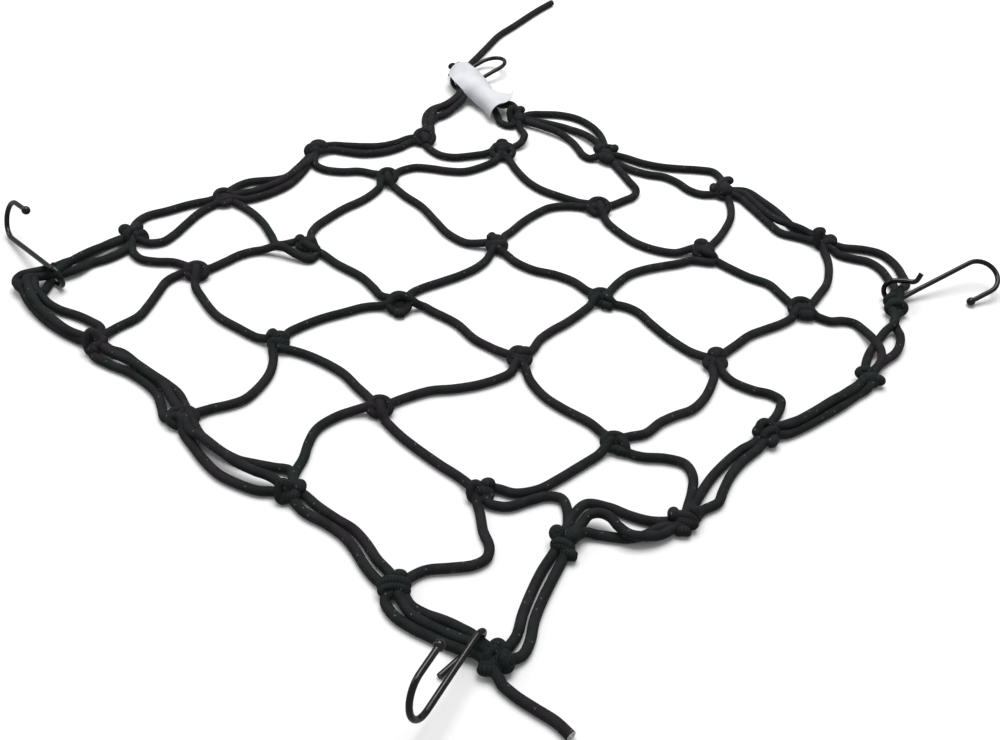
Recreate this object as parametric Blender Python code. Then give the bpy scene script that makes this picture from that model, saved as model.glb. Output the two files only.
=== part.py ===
"""A knotted elastic cargo net lying flat: a bundled border, mesh cords, four wire hooks and a label.

Lengths in the tables and constants are millimetres; MM turns them into metres. X runs from the
left edge of the net to the right, Y from the front edge to the back, and Z up. The surface that
the net lies on is z = 0, and the origin is the middle of the box around net, hooks and label.
"""
import math
from typing import NamedTuple

import bmesh
import bpy
import numpy as np

MM = 0.001

# --- Driving sizes ---------------------------------------------------------------------------
CELLS = 5  # openings along each side of the net
PITCH = 76.2  # side of one square opening, knot to knot
CORD = 5.0  # diameter of the elastic cord
KNOT_RADIUS = 8.6  # a tied knot, seen from above
KNOT_HEIGHT = 12.0
CORNER_FOLD_RADIUS = 6.5  # the one corner where the border only folds round
KNOT_GRIP = 0.15  # gap between a knot and a mesh cord that is tied into it
STRAND_GRIP = 0.6  # the same for a loose strand or a free end of the border
KNOT_LEAD = 3.0  # plain cord before a knot that it swells into
SPAN_STEP = 10.0  # between the sections of a cord
CORD_SIDES = 6
CURVE_STEPS = 60  # points from one waypoint of a curve to the next
BUNDLE_HEIGHT = 8.0  # the border's gathered strands, where they lie wide
EYE_BUNDLE = 3.8  # half width of the border where a hook's eye holds it together
EYE_BUNDLE_HEIGHT = 6.6
LIFT_RUN = 25.0  # length over which the border climbs into a hook's eye
EYE_REACH = 14.0  # a border span within this of an eye runs through it
EYE_SPACING = 5.0  # an eye takes the place of a waypoint this near to it

WIRE = 3.0  # hook wire with its coating
EYE_RADIUS = 6.2  # to the middle of the wire
HOOK_ARC_RADIUS = 10.8
HOOK_TIP = 13.3  # straight wire after the hook's arc
TIP_BALL = 2.5  # radius of the ball on the wire's end
EYE_CENTRE_HEIGHT = EYE_RADIUS + WIRE / 2 + 0.2

LABEL_THICKNESS = 1.0
LABEL_WIDTH = 32.0  # laid out flat, across the border
LABEL_LIFT_RATE = 6.0  # how steeply the border rises under the label
LABEL_START = (-212.5, 187.0)  # middle of its two ends
LABEL_END = (-150.5, 163.0)

# Middle of the box around the net, its hooks and its label, before it is moved to the origin.
CENTRE = (-21.04, 0.48)

# --- Tables ----------------------------------------------------------------------------------
# How far each knot lies from its place in an even square mesh: (x, y) shifts, one row for each
# row of knots from the front edge to the back, left to right.
KNOT_SHIFTS = (
    ((10, 1), (-1, 3), (8, 0), (8, 7), (11, 4), (-5, 3)),
    ((2, -3), (-18, 2), (-11, -5), (-8, 1), (-7, -2), (-33, 5)),
    ((2, -10), (2, -7), (7, -5), (11, 11), (16, -4), (-4, -21)),
    ((-6, -5), (-25, 6), (2, 4), (6, 10), (10, 13), (-10, -16)),
    ((27, -12), (0, 14), (16, 9), (16, 19), (17, 14), (1, -11)),
    ((-30, 0), (-26, -18), (-28, -10), (-18, 14), (-17, 12), (-19, -21)),
)


class Bow(NamedTuple):
    """How far a cord bows to the left of the line between two knots, at its quarter points."""

    near: float
    middle: float
    far: float


# Spans from left to right, one row for each lengthwise cord from the front.
LENGTHWISE_BOWS = (
    (Bow(-8, -9, 0), Bow(-9, -11, -8), Bow(5, 8, 5), Bow(-4, -5, -4), Bow(-3, 7, 15)),
    (Bow(0, -2, -8), Bow(0, 1, 0), Bow(5, 3, -3), Bow(-7, -8, -2), Bow(6, 21, 11)),
    (Bow(-10, -12, -1), Bow(-5, -8, -13), Bow(-5, -3, 3), Bow(5, 1, -3), Bow(1, 12, 11)),
    (Bow(-17, -19, -12), Bow(-9, -13, -8), Bow(-12, -18, -16), Bow(0, 3, 4), Bow(17, 22, 8)),
)
# Spans from front to back, one row for each crosswise cord from the left.
CROSSWISE_BOWS = (
    (Bow(-2, 0, 7), Bow(3, 7, 0), Bow(6, 4, -2), Bow(5, -9, -12), Bow(-9, -10, 1)),
    (Bow(-9, -17, -14), Bow(7, 8, 7), Bow(1, -5, -8), Bow(8, 15, 16), Bow(-21, -20, -1)),
    (Bow(9, 16, 13), Bow(0, -8, -11), Bow(1, 0, -1), Bow(5, 6, -1), Bow(-7, -10, -9)),
    (Bow(-9, -23, -9), Bow(-7, -9, -7), Bow(-8, -13, -13), Bow(1, 2, -2), Bow(-8, -10, -3)),
)


class BorderSpan(NamedTuple):
    """One span of the border's bundle: its bow, its half width there, and its lift off the ground."""

    bow: Bow
    width: Bow
    lift: float = 0.0


class Side(NamedTuple):
    """One side of the border: the (column, row) of its knots in order, and its spans."""

    name: str
    knots: tuple
    spans: tuple


SIDES = (
    Side(
        "border_front",
        tuple((i, 0) for i in range(CELLS + 1)),
        (
            BorderSpan(Bow(-4, -8, -9), Bow(5, 4, 4)),
            BorderSpan(Bow(-1, 3, 4), Bow(7, 6, 5)),
            BorderSpan(Bow(-5, -6, 1), Bow(5, 5, 6)),
            BorderSpan(Bow(0, 4, 2), Bow(6, 5, 5)),
            BorderSpan(Bow(-6, -3, 0), Bow(6, 7, 5)),
        ),
    ),
    Side(
        "border_right",
        tuple((CELLS, j) for j in range(CELLS + 1)),
        (
            BorderSpan(Bow(-6, -2, 0), Bow(6, 6, 5)),
            BorderSpan(Bow(6, 6, -3), Bow(8, 8, 7)),
            BorderSpan(Bow(-5, 1, 1), Bow(4, 6, 6)),
            BorderSpan(Bow(-4, -4, -3), Bow(3.5, 5, 5)),
            BorderSpan(Bow(-2, -4, -5), Bow(4, 7, 4)),
        ),
    ),
    Side(
        "border_back",
        tuple((i, CELLS) for i in range(CELLS, -1, -1)),
        (
            BorderSpan(Bow(-20.5, -30, -24), Bow(3, 3, 3)),
            BorderSpan(Bow(5, 6, 0), Bow(7, 4, 3)),
            BorderSpan(Bow(8, 6, 10), Bow(3, 3, 3)),
            BorderSpan(Bow(-11, -12, -8), Bow(3, 3, 3)),
            BorderSpan(Bow(9, 7, -1), Bow(4, 4, 3), lift=5.9),
        ),
    ),
    Side(
        "border_left",
        tuple((0, j) for j in range(CELLS, -1, -1)),
        (
            BorderSpan(Bow(7, 7, -2), Bow(3.2, 6, 7)),
            BorderSpan(Bow(6, 9, 4), Bow(5, 7, 6)),
            BorderSpan(Bow(4, 14, 14), Bow(4, 4, 4)),
            BorderSpan(Bow(-6, -10, -13), Bow(3, 3, 3)),
            BorderSpan(Bow(0, -2, 5), Bow(6, 6, 4)),
        ),
    ),
)

class Strand(NamedTuple):
    """A single border strand that stands well clear of its bundle, and the knots at its ends."""

    name: str
    points: tuple
    start: tuple | None = None
    end: tuple | None = None


LOOSE_STRANDS = (
    Strand("border_strand_front_1", ((-156, -188), (-146, -184), (-134, -180), (-124, -180)),
           end=(1, 0)),
    Strand("border_strand_front_3",
           ((-20, -201), (-6, -203.5), (10, -204), (25, -202), (36, -197), (43, -191)), end=(3, 0)),
    Strand("border_strand_back_1",
           ((152.5, 192.5), (147, 199), (139, 204), (131, 204), (123, 200), (112, 198.5)), end=(4, 5)),
    Strand("border_strand_back_2", ((66, 206.5), (58, 210), (45, 213), (34, 216.5), (25.5, 218)),
           end=(3, 5)),
    Strand("border_strand_back_3",
           ((13, 213), (8, 217), (0, 219), (-8, 214), (-18, 205), (-28, 197), (-40, 191), (-52, 188)),
           start=(3, 5), end=(2, 5)),
    Strand("border_strand_back_4_outer",
           ((-71, 190.5), (-77, 196), (-88, 201), (-100, 204.5), (-112, 204.5), (-124, 199), (-135, 188)),
           start=(2, 5), end=(1, 5)),
    Strand("border_strand_back_4_inner",
           ((-69, 168.6), (-75, 168), (-84, 172), (-94, 176), (-105, 176), (-118, 170.5), (-131, 166.5)),
           start=(2, 5), end=(1, 5)),
    Strand("border_strand_left_3", ((-185.5, -12), (-190, -18), (-194, -27), (-193, -38)), end=(0, 2)),
    Strand("border_strand_left_4",
           ((-184, -62), (-181, -74), (-178, -84), (-174, -95), (-172, -104), (-175, -111)),
           start=(0, 2), end=(0, 1)),
)

# The two free ends of the border cord: the knot each leaves, and the points it passes.
TAILS = {
    "cord_tail_front": ((5, 0), ((195, -191.5), (203, -190.5), (212, -190), (222, -188.5), (231, -189))),
    "cord_tail_back": (
        (0, 5),
        ((-221, 200), (-231, 225), (-238, 242), (-246, 262), (-251, 285), (-259, 320), (-263, 344)),
    ),
}


class Hook(NamedTuple):
    """A wire hook: its eye goes round the border, its shank runs to where the arc starts."""

    name: str
    side: str  # the side of the border that the eye goes round
    eye: tuple  # middle of the eye, (x, y)
    axis: tuple  # the border's direction through the eye
    shank_end: tuple
    curl: tuple  # the side that the arc turns to
    over: bool  # True where the shank leaves the top of the eye
    turn: float  # degrees of the eye's wire before the shank
    lead: float  # how far the eye's wire has moved along the axis by its start
    stub: float  # straight wire before the eye


HOOKS = (
    Hook("hook_front_left", "border_left", (-174.6, -177.5), (-0.1, 1), (-232, -172, 3.5),
         (-0.04, 0.37, 0.93), over=True, turn=270, lead=3.4, stub=1.0),
    Hook("hook_front_right", "border_front", (175.5, -187.5), (1, 0.05), (188, -228, 14),
         (-0.2, 0.09, 0.98), over=True, turn=180, lead=-3.4, stub=15.0),
    Hook("hook_back_right", "border_back", (162.5, 179.0), (-0.35, 0.937), (182, 232, 15),
         (0.88, -0.16, -0.37), over=False, turn=185, lead=3.4, stub=12.0),
    Hook("hook_back_left", "border_left", (-200.4, 172.2), (-0.5, 0.86), (-196, 221, 8.5),
         (-0.94, 0.12, -0.17), over=False, turn=225, lead=3.4, stub=2.0),
)


class LabelSection(NamedTuple):
    """The label across its length: where its crest is, and how its two sides curl down from it."""

    along: float  # share of the label's length
    crest_side: float
    crest_height: float
    near_width: float  # the rest of LABEL_WIDTH is on the far side
    near_curl: float
    far_curl: float
    pull_back: float  # how far the far edge is drawn back along the label


LABEL_SECTIONS = (
    LabelSection(0.0, -1.0, 16.5, 16.0, 100.0, 85.0, 0.0),
    LabelSection(0.15, -3.5, 17.9, 13.0, 45.0, 62.0, 0.0),
    LabelSection(0.3, -4.0, 17.4, 13.0, 35.0, 58.0, 0.0),
    LabelSection(0.45, -2.5, 16.8, 13.0, 50.0, 70.0, 0.0),
    LabelSection(0.65, -1.0, 15.5, 17.0, 140.0, 110.0, 0.0),
    LabelSection(0.8, 0.0, 14.8, 17.0, 140.0, 70.0, 4.0),
    LabelSection(1.0, 0.0, 14.8, 17.0, 120.0, 30.0, 14.0),
)


# --- Curves ----------------------------------------------------------------------------------
def unit(vector):
    """The vector at length 1."""
    vector = np.asarray(vector, float)
    return vector / np.linalg.norm(vector)


def left_of(direction):
    """The level direction to the left of a level direction."""
    return np.array([-direction[1], direction[0]])


def smooth_curve(points):
    """A dense curve through points: a Catmull-Rom spline, straight at its two ends."""
    p = np.asarray(points, float)
    p = np.vstack([2 * p[0] - p[1], p, 2 * p[-1] - p[-2]])
    t = np.linspace(0, 1, CURVE_STEPS, endpoint=False)[:, None]
    parts = []
    for a, b, c, d in zip(p[:-3], p[1:-2], p[2:-1], p[3:]):
        parts.append(
            0.5 * (2 * b + (c - a) * t + (2 * a - 5 * b + 4 * c - d) * t**2
                   + (3 * b - a - 3 * c + d) * t**3)
        )
    return np.vstack(parts + [p[-2:-1]])


def lengths_along(points):
    """Distance along a line of points to each of them."""
    return np.concatenate([[0.0], np.cumsum(np.linalg.norm(np.diff(points, axis=0), axis=1))])


def evenly(points, spacing):
    """The same line with evenly spaced points, about a spacing apart."""
    along = lengths_along(points)
    steps = max(2, round(along[-1] / spacing))
    at = np.linspace(0, along[-1], steps + 1)
    return np.column_stack([np.interp(at, along, axis) for axis in points.T])


def away_from(points, centre, distance):
    """The points that lie at least a distance from a centre."""
    return points[np.linalg.norm(points - centre, axis=1) >= distance]


def ease(x):
    """0 to 1 with level ends."""
    x = min(max(x, 0.0), 1.0)
    return x * x * (3 - 2 * x)


# --- The net's layout ------------------------------------------------------------------------
def knot_at(i, j):
    """The middle of the knot in column i and row j."""
    dx, dy = KNOT_SHIFTS[j][i]
    return np.array([(i - CELLS / 2) * PITCH + dx, (j - CELLS / 2) * PITCH + dy])


def knot_radius(i, j):
    """The knot's radius; the front left corner is only a fold."""
    return CORNER_FOLD_RADIUS if (i, j) == (0, 0) else KNOT_RADIUS


def bowed_points(start, end, bow):
    """The quarter points of a bowed span."""
    side = left_of(unit(end - start))
    shares = (0.25, 0.5, 0.75)
    return [start + (end - start) * share + side * aside for share, aside in zip(shares, bow)]


class Station(NamedTuple):
    """One section of a cord or bundle: its middle, half width, height and lift off the ground."""

    place: np.ndarray
    half_width: float
    height: float
    lift: float = 0.0


def knot_stations(centre, direction, radius):
    """A knot as a swelling of the cord that is round from above."""
    stations = []
    for share in (-0.94, -0.7, -0.25, 0.25, 0.7, 0.94):
        half_width = radius * math.sqrt(1 - share**2)
        height = CORD + (KNOT_HEIGHT - CORD) * (1 - share**4)
        stations.append(Station(centre + direction * radius * share, half_width, height))
    return stations


def knotted_line(keys, owned, waypoints, station_at):
    """Stations from knot to knot, swelling into the knots it owns and stopping short of the rest.

    keys are the knots' (column, row), waypoints the points of each span between them, and
    station_at(span, place, share) gives a section of a span.
    """
    knots = [knot_at(*key) for key in keys]
    through, knot_index = [knots[0]], [0]
    for points, end in zip(waypoints, knots[1:]):
        through += [*points, end]
        knot_index.append(len(through) - 1)
    curve = smooth_curve(through)
    marks = [index * CURVE_STEPS for index in knot_index]
    gaps = [knot_radius(*key) + (KNOT_LEAD if key in owned else KNOT_GRIP) for key in keys]
    stations = []
    for k, mark in enumerate(marks):
        if keys[k] in owned:
            before, after = max(mark - 4, 0), min(mark + 4, len(curve) - 1)
            direction = unit(curve[after] - curve[before])
            stations += knot_stations(knots[k], direction, knot_radius(*keys[k]))
        if k == len(marks) - 1:
            break
        piece = away_from(curve[mark : marks[k + 1] + 1], knots[k], gaps[k])
        piece = evenly(away_from(piece, knots[k + 1], gaps[k + 1]), SPAN_STEP)
        shares = np.linspace(0, 1, len(piece))
        stations += [station_at(k, place, share) for place, share in zip(piece, shares)]
    return stations


def plain_station(_span, place, _share):
    """A section of a single cord on the ground."""
    return Station(place, CORD / 2, CORD)


def eyes_on(side):
    """The middles of the hooks' eyes that go round one side of the border."""
    return [np.array(hook.eye) for hook in HOOKS if hook.side == side.name]


def eye_share(side, place):
    """1 in a hook's eye on this side, easing to 0 at LIFT_RUN from it."""
    nearest = min([LIFT_RUN * 2, *(np.linalg.norm(place - eye) for eye in eyes_on(side))])
    return ease(1 - (nearest - WIRE) / LIFT_RUN)


def bundle_station(side, span, place, share):
    """A section of the border's bundle, gathered and lifted near a hook's eye."""
    near, middle, far = side.spans[span].width
    half_width = np.interp(share, (0, 0.2, 0.5, 0.8, 1), (near, near, middle, far, far))
    height = CORD + (BUNDLE_HEIGHT - CORD) * ease((half_width - CORD / 2) / CORD)
    lift = side.spans[span].lift * ease(LABEL_LIFT_RATE * min(share, 1 - share))
    held = eye_share(side, place)
    half_width += (EYE_BUNDLE - half_width) * held
    height += (EYE_BUNDLE_HEIGHT - height) * held
    lift = max(lift, (EYE_CENTRE_HEIGHT - EYE_BUNDLE_HEIGHT / 2) * held)
    return Station(place, half_width, height, lift)


def border_waypoints(side, start, end, span):
    """The quarter points of a border span, and any hook's eye on it, in order along the span."""
    points = bowed_points(start, end, span.bow)
    direction, length = unit(end - start), np.linalg.norm(end - start)
    for eye in eyes_on(side):
        along, aside = (eye - start) @ direction, (eye - start) @ left_of(direction)
        if 0 < along < length and abs(aside) < EYE_REACH:
            points = [p for p in points if np.linalg.norm(p - eye) > EYE_SPACING] + [eye]
    return sorted(points, key=lambda point: (point - start) @ direction)


# --- Solids ----------------------------------------------------------------------------------
def material(name, colour, roughness):
    """A plain Principled material without metal."""
    made = bpy.data.materials.new(name)
    made.use_nodes = True
    shader = made.node_tree.nodes["Principled BSDF"]
    shader.inputs["Base Color"].default_value = (*colour, 1.0)
    shader.inputs["Roughness"].default_value = roughness
    shader.inputs["Metallic"].default_value = 0.0
    return made


def add_object(name, data, finish, origin=(0.0, 0.0, 0.0)):
    """Put a mesh or curve in the scene; its origin is a point of the net in millimetres."""
    data.materials.append(finish)
    made = bpy.data.objects.new(name, data)
    made.location = [MM * (place - shift) for place, shift in zip(origin, (*CENTRE, 0.0))]
    bpy.context.scene.collection.objects.link(made)


def closed_mesh(name, points, faces, origin):
    """A mesh with outward faces from points in millimetres, relative to its origin."""
    mesh = bpy.data.meshes.new(name)
    mesh.from_pydata([tuple(MM * (point - origin)) for point in points], [], faces)
    work = bmesh.new()
    work.from_mesh(mesh)
    bmesh.ops.recalc_face_normals(work, faces=work.faces)
    work.to_mesh(mesh)
    work.free()
    mesh.shade_smooth()
    mesh.set_sharp_from_angle(angle=math.radians(50))
    return mesh


def skin(name, rings, finish, origin=(0.0, 0.0, 0.0)):
    """A closed tube through rings of the same number of points, with flat ends."""
    sides = len(rings[0])
    last = (len(rings) - 1) * sides
    faces = [tuple(range(sides)), tuple(range(last, last + sides))]
    for first in range(0, last, sides):
        for k in range(sides):
            after = (k + 1) % sides
            faces.append((first + k, first + after, first + sides + after, first + sides + k))
    mesh = closed_mesh(name, np.vstack(rings), faces, np.array(origin))
    add_object(name, mesh, finish, origin)


def flat_based_ring(station, direction):
    """A six-sided section with a flat top and underside."""
    across = left_of(direction)
    ring = []
    for k in range(CORD_SIDES):
        angle = 2 * math.pi * (k + 0.5) / CORD_SIDES - math.pi / 2
        rise = math.sin(angle) / math.cos(math.pi / CORD_SIDES)
        side = station.place + across * station.half_width * math.cos(angle)
        ring.append([*side, station.lift + station.height / 2 * (1 + rise)])
    return np.array(ring)


def cord_solid(name, stations, finish):
    """A cord or bundle through its stations."""
    headings = np.gradient(np.array([station.place for station in stations]), axis=0)
    rings = [flat_based_ring(station, unit(heading)) for station, heading in zip(stations, headings)]
    skin(name, rings, finish)


def lengthwise_cord(row, finish):
    """A cord from the left border to the right one, with the knots along it."""
    keys = [(i, row) for i in range(CELLS + 1)]
    knots = [knot_at(*key) for key in keys]
    waypoints = [bowed_points(*ends) for ends in zip(knots, knots[1:], LENGTHWISE_BOWS[row - 1])]
    stations = knotted_line(keys, keys[1:-1], waypoints, plain_station)
    cord_solid(f"lengthwise_cord_{row}", stations, finish)


def crosswise_cord(column, row, finish):
    """A piece of crosswise cord between the knots of two rows."""
    keys = [(column, row), (column, row + 1)]
    bow = CROSSWISE_BOWS[column - 1][row]
    waypoints = [bowed_points(knot_at(*keys[0]), knot_at(*keys[1]), bow)]
    stations = knotted_line(keys, [], waypoints, plain_station)
    cord_solid(f"crosswise_cord_{column}_{row + 1}", stations, finish)


def border_side(side, finish):
    """One side of the border with its knots, up to the knot that starts the next side."""
    knots = [knot_at(*key) for key in side.knots]
    waypoints = [border_waypoints(side, *ends) for ends in zip(knots, knots[1:], side.spans)]

    def station_at(span, place, share):
        return bundle_station(side, span, place, share)

    stations = knotted_line(side.knots, side.knots[:-1], waypoints, station_at)
    cord_solid(side.name, stations, finish)


def loose_strand(strand, finish):
    """A single strand of the border that bows away from its bundle."""
    ends = [knot_at(*key) for key in (strand.start, strand.end) if key]
    points = [*([ends[0]] if strand.start else []), *strand.points, *([ends[-1]] if strand.end else [])]
    curve = smooth_curve(points)
    for end in ends:
        curve = away_from(curve, end, KNOT_RADIUS + STRAND_GRIP)
    stations = [plain_station(0, place, 0) for place in evenly(curve, SPAN_STEP)]
    cord_solid(strand.name, stations, finish)


def cord_tail(name, knot, points, finish):
    """A free end of cord lying on the ground, from its knot to its cut end."""
    centre = knot_at(*knot)
    start = centre + unit(np.array(points[0]) - centre) * (KNOT_RADIUS + STRAND_GRIP)
    line = evenly(smooth_curve([start, *points]), CORD * 2.5)
    curve = bpy.data.curves.new(name, "CURVE")
    curve.dimensions = "3D"
    curve.bevel_depth = MM * CORD / 2
    curve.bevel_resolution = 2
    curve.use_fill_caps = True
    spline = curve.splines.new("POLY")
    spline.points.add(len(line) - 1)
    for point, (x, y) in zip(spline.points, line):
        point.co = (MM * x, MM * y, MM * CORD / 2, 1.0)
    add_object(name, curve, finish)


def hook_wire(hook):
    """The middle line of a hook's wire from its stub to where its ball starts."""
    up = np.array([0.0, 0.0, 1.0])
    axis = np.array([*unit(hook.axis), 0.0])
    eye = np.array([*hook.eye, EYE_CENTRE_HEIGHT])
    shank_end = np.array(hook.shank_end)
    out = np.cross(axis, up)
    out *= math.copysign(1.0, (shank_end - eye) @ out)
    sign = 1.0 if hook.over else -1.0
    slope = 0.0
    for _ in range(20):  # the shank leaves the eye along its tangent, found by repetition
        leave = eye + EYE_RADIUS * sign * (math.cos(slope) * up - math.sin(slope) * out)
        slope = math.atan2((shank_end - leave) @ up, (shank_end - leave) @ out)
    ahead = math.cos(slope) * out + math.sin(slope) * up
    aside = math.cos(slope) * up - math.sin(slope) * out
    turns = np.radians(np.linspace(hook.turn, 0, max(12, round(hook.turn / 15))))
    leads = np.linspace(hook.lead, 0, len(turns))
    loop = [eye + EYE_RADIUS * (math.cos(t) * sign * aside - math.sin(t) * ahead) + lead * axis
            for t, lead in zip(turns, leads)]
    backward = -math.cos(turns[0]) * ahead - math.sin(turns[0]) * sign * aside
    stub = loop[0] + backward * hook.stub
    along = unit(shank_end - leave)
    curl = np.array(hook.curl)
    curl = unit(curl - along * (along @ curl))
    shank = [leave + (shank_end - leave) * share for share in (0.3, 0.65)]
    arc = [shank_end + HOOK_ARC_RADIUS * (math.sin(t) * along + (1 - math.cos(t)) * curl)
           for t in np.linspace(0, math.pi, 13)]
    tip = [arc[-1] - along * HOOK_TIP * share for share in (0.5, 1.0)]
    return np.array([stub, *loop, *shank, *arc, *tip])


def wire_ring(centre, across, up, radius):
    """An eight-sided round section."""
    angles = 2 * math.pi * (np.arange(8) + 0.5) / 8
    return centre + radius * (np.outer(np.cos(angles), across) + np.outer(np.sin(angles), up))


def hook_solid(hook, finish):
    """A wire hook with a ball on its tip; its origin is the middle of its eye."""
    line = hook_wire(hook)
    headings = [unit(heading) for heading in np.gradient(line, axis=0)]
    up = unit(np.cross(headings[0], np.cross([0.3, 0.2, 1.0], headings[0])))
    rings = []
    for place, heading in zip(line, headings):
        up = unit(up - heading * (up @ heading))
        rings.append(wire_ring(place, np.cross(up, heading), up, WIRE / 2))
    ball = line[-1] + headings[-1] * TIP_BALL
    across = np.cross(up, headings[-1])
    for angle in np.radians((-40, -15, 15, 45, 72)):
        middle = ball + headings[-1] * TIP_BALL * math.sin(angle)
        rings.append(wire_ring(middle, across, up, TIP_BALL * math.cos(angle)))
    skin(hook.name, rings, finish, (*hook.eye, EYE_CENTRE_HEIGHT))


def label_point(along, across, depth):
    """A point of the label: share of its length, share of its width, depth below its face."""
    at = {field: np.interp(along, [s.along for s in LABEL_SECTIONS],
                           [getattr(s, field) for s in LABEL_SECTIONS])
          for field in LabelSection._fields}
    from_crest = across * LABEL_WIDTH - at["near_width"]
    width = at["near_width"] if from_crest < 0 else LABEL_WIDTH - at["near_width"]
    curl = math.radians(at["near_curl"] if from_crest < 0 else at["far_curl"])
    radius = width / curl
    angle = from_crest / radius
    side = at["crest_side"] + (radius - depth) * math.sin(angle)
    height = at["crest_height"] - radius + (radius - depth) * math.cos(angle)
    direction = unit(np.subtract(LABEL_END, LABEL_START))
    back = at["pull_back"] * (max(from_crest, 0.0) / width) ** 2
    place = np.array(LABEL_START) + along * np.subtract(LABEL_END, LABEL_START)
    return np.array([*(place - direction * back + left_of(direction) * side), height])


def label_solid(finish):
    """The thin label that is wrapped over the border, as one closed sheet."""
    rows, columns = 9, 11
    shares = [(i / (rows - 1), k / (columns - 1)) for i in range(rows) for k in range(columns)]
    points = [label_point(*share, depth) for depth in (0.0, LABEL_THICKNESS) for share in shares]
    under = rows * columns
    faces = []
    for i in range(rows - 1):
        for k in range(columns - 1):
            a = i * columns + k
            quad = (a, a + 1, a + columns + 1, a + columns)
            faces += [quad, tuple(under + corner for corner in quad[::-1])]
    rim = [(i * columns) for i in range(rows)]
    rim += [(rows - 1) * columns + k for k in range(1, columns)]
    rim += [i * columns + columns - 1 for i in range(rows - 2, -1, -1)]
    rim += [k for k in range(columns - 2, 0, -1)]
    faces += [(a, b, under + b, under + a) for a, b in zip(rim, rim[1:] + rim[:1])]
    mesh = closed_mesh("label", points, faces, np.zeros(3))
    add_object("label", mesh, finish)


def clear_scene():
    """Remove what a new scene holds."""
    for old in list(bpy.data.objects):
        bpy.data.objects.remove(old)


def build():
    """Make every piece of the net."""
    cord = material("black_elastic_cord", (0.022, 0.022, 0.024), 0.85)
    coated_wire = material("black_coated_wire", (0.01, 0.01, 0.011), 0.3)
    paper = material("white_label", (0.8, 0.8, 0.82), 0.6)
    for side in SIDES:
        border_side(side, cord)
    for row in range(1, CELLS):
        lengthwise_cord(row, cord)
    for column in range(1, CELLS):
        for row in range(CELLS):
            crosswise_cord(column, row, cord)
    for strand in LOOSE_STRANDS:
        loose_strand(strand, cord)
    for name, (knot, points) in TAILS.items():
        cord_tail(name, knot, points, cord)
    for hook in HOOKS:
        hook_solid(hook, coated_wire)
    label_solid(paper)


clear_scene()
build()
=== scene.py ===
"""A knotted elastic cargo net that lies flat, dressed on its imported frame.

Every length in the tables is in net millimetres: X runs from the left edge of the net to the
right one, Y from the front edge to the back one and Z up from the surface. ``to_world`` turns
them into the frame's metres.
"""

import logging
import math
from dataclasses import dataclass, field
from enum import Enum

import bpy
import numpy as np
from mathutils import Matrix, Vector


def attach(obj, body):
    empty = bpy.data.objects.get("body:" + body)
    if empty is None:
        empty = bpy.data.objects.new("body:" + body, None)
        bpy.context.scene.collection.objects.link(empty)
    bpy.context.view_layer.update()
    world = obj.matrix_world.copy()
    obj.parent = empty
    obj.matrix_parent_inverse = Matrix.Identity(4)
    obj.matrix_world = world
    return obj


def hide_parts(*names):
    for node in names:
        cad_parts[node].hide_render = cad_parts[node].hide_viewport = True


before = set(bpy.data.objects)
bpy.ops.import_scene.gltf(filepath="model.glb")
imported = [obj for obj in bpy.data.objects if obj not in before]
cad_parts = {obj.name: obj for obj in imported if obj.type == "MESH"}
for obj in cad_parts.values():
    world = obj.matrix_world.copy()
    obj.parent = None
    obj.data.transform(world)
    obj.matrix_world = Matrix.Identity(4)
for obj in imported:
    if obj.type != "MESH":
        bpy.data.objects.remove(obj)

LOG = logging.getLogger("cargo_net")

MM = 0.001
NET_CENTRE = np.array([-21.04, 0.48, 0.0])  # the frame's origin in net millimetres
CELLS = 5  # openings along each side
CORD = 5.0  # diameter of the elastic cord
KNOTTED = 2.35  # radius of the cord where it is drawn tight in a knot
GROUND = CORD / 2  # height of a cord's middle line where it lies on the surface
SHARP = 55  # degrees between faces from which an edge is sharp
YARNS = 12  # that run each way round the cord in its braided cover

Point = tuple[float, ...]


# --- Tables: where the cords lie ---------------------------------------------------------------
# The middle of each knot, one row for each row of knots from the front edge, left to right.
KNOTS: tuple[tuple[Point, ...], ...] = (
    ((-184, -187), (-115, -188), (-30, -190), (46, -183), (125, -187), (186, -187)),
    ((-188, -117), (-132, -112), (-49, -119), (30, -113), (107, -116), (157, -109)),
    ((-188, -48), (-112, -45), (-31, -43), (49, -27), (130, -42), (187, -59)),
    ((-197, 33), (-139, 44), (-36, 42), (44, 48), (124, 51), (180, 22)),
    ((-163, 102), (-114, 128), (-22, 123), (54, 133), (131, 128), (192, 103)),
    ((-221, 190), (-140, 172), (-66, 180), (20, 204), (97, 202), (171, 168)),
)
KNOT_LEAN = np.array([1.0, -1.1])  # from the table's place to the middle of the knot's body

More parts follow.
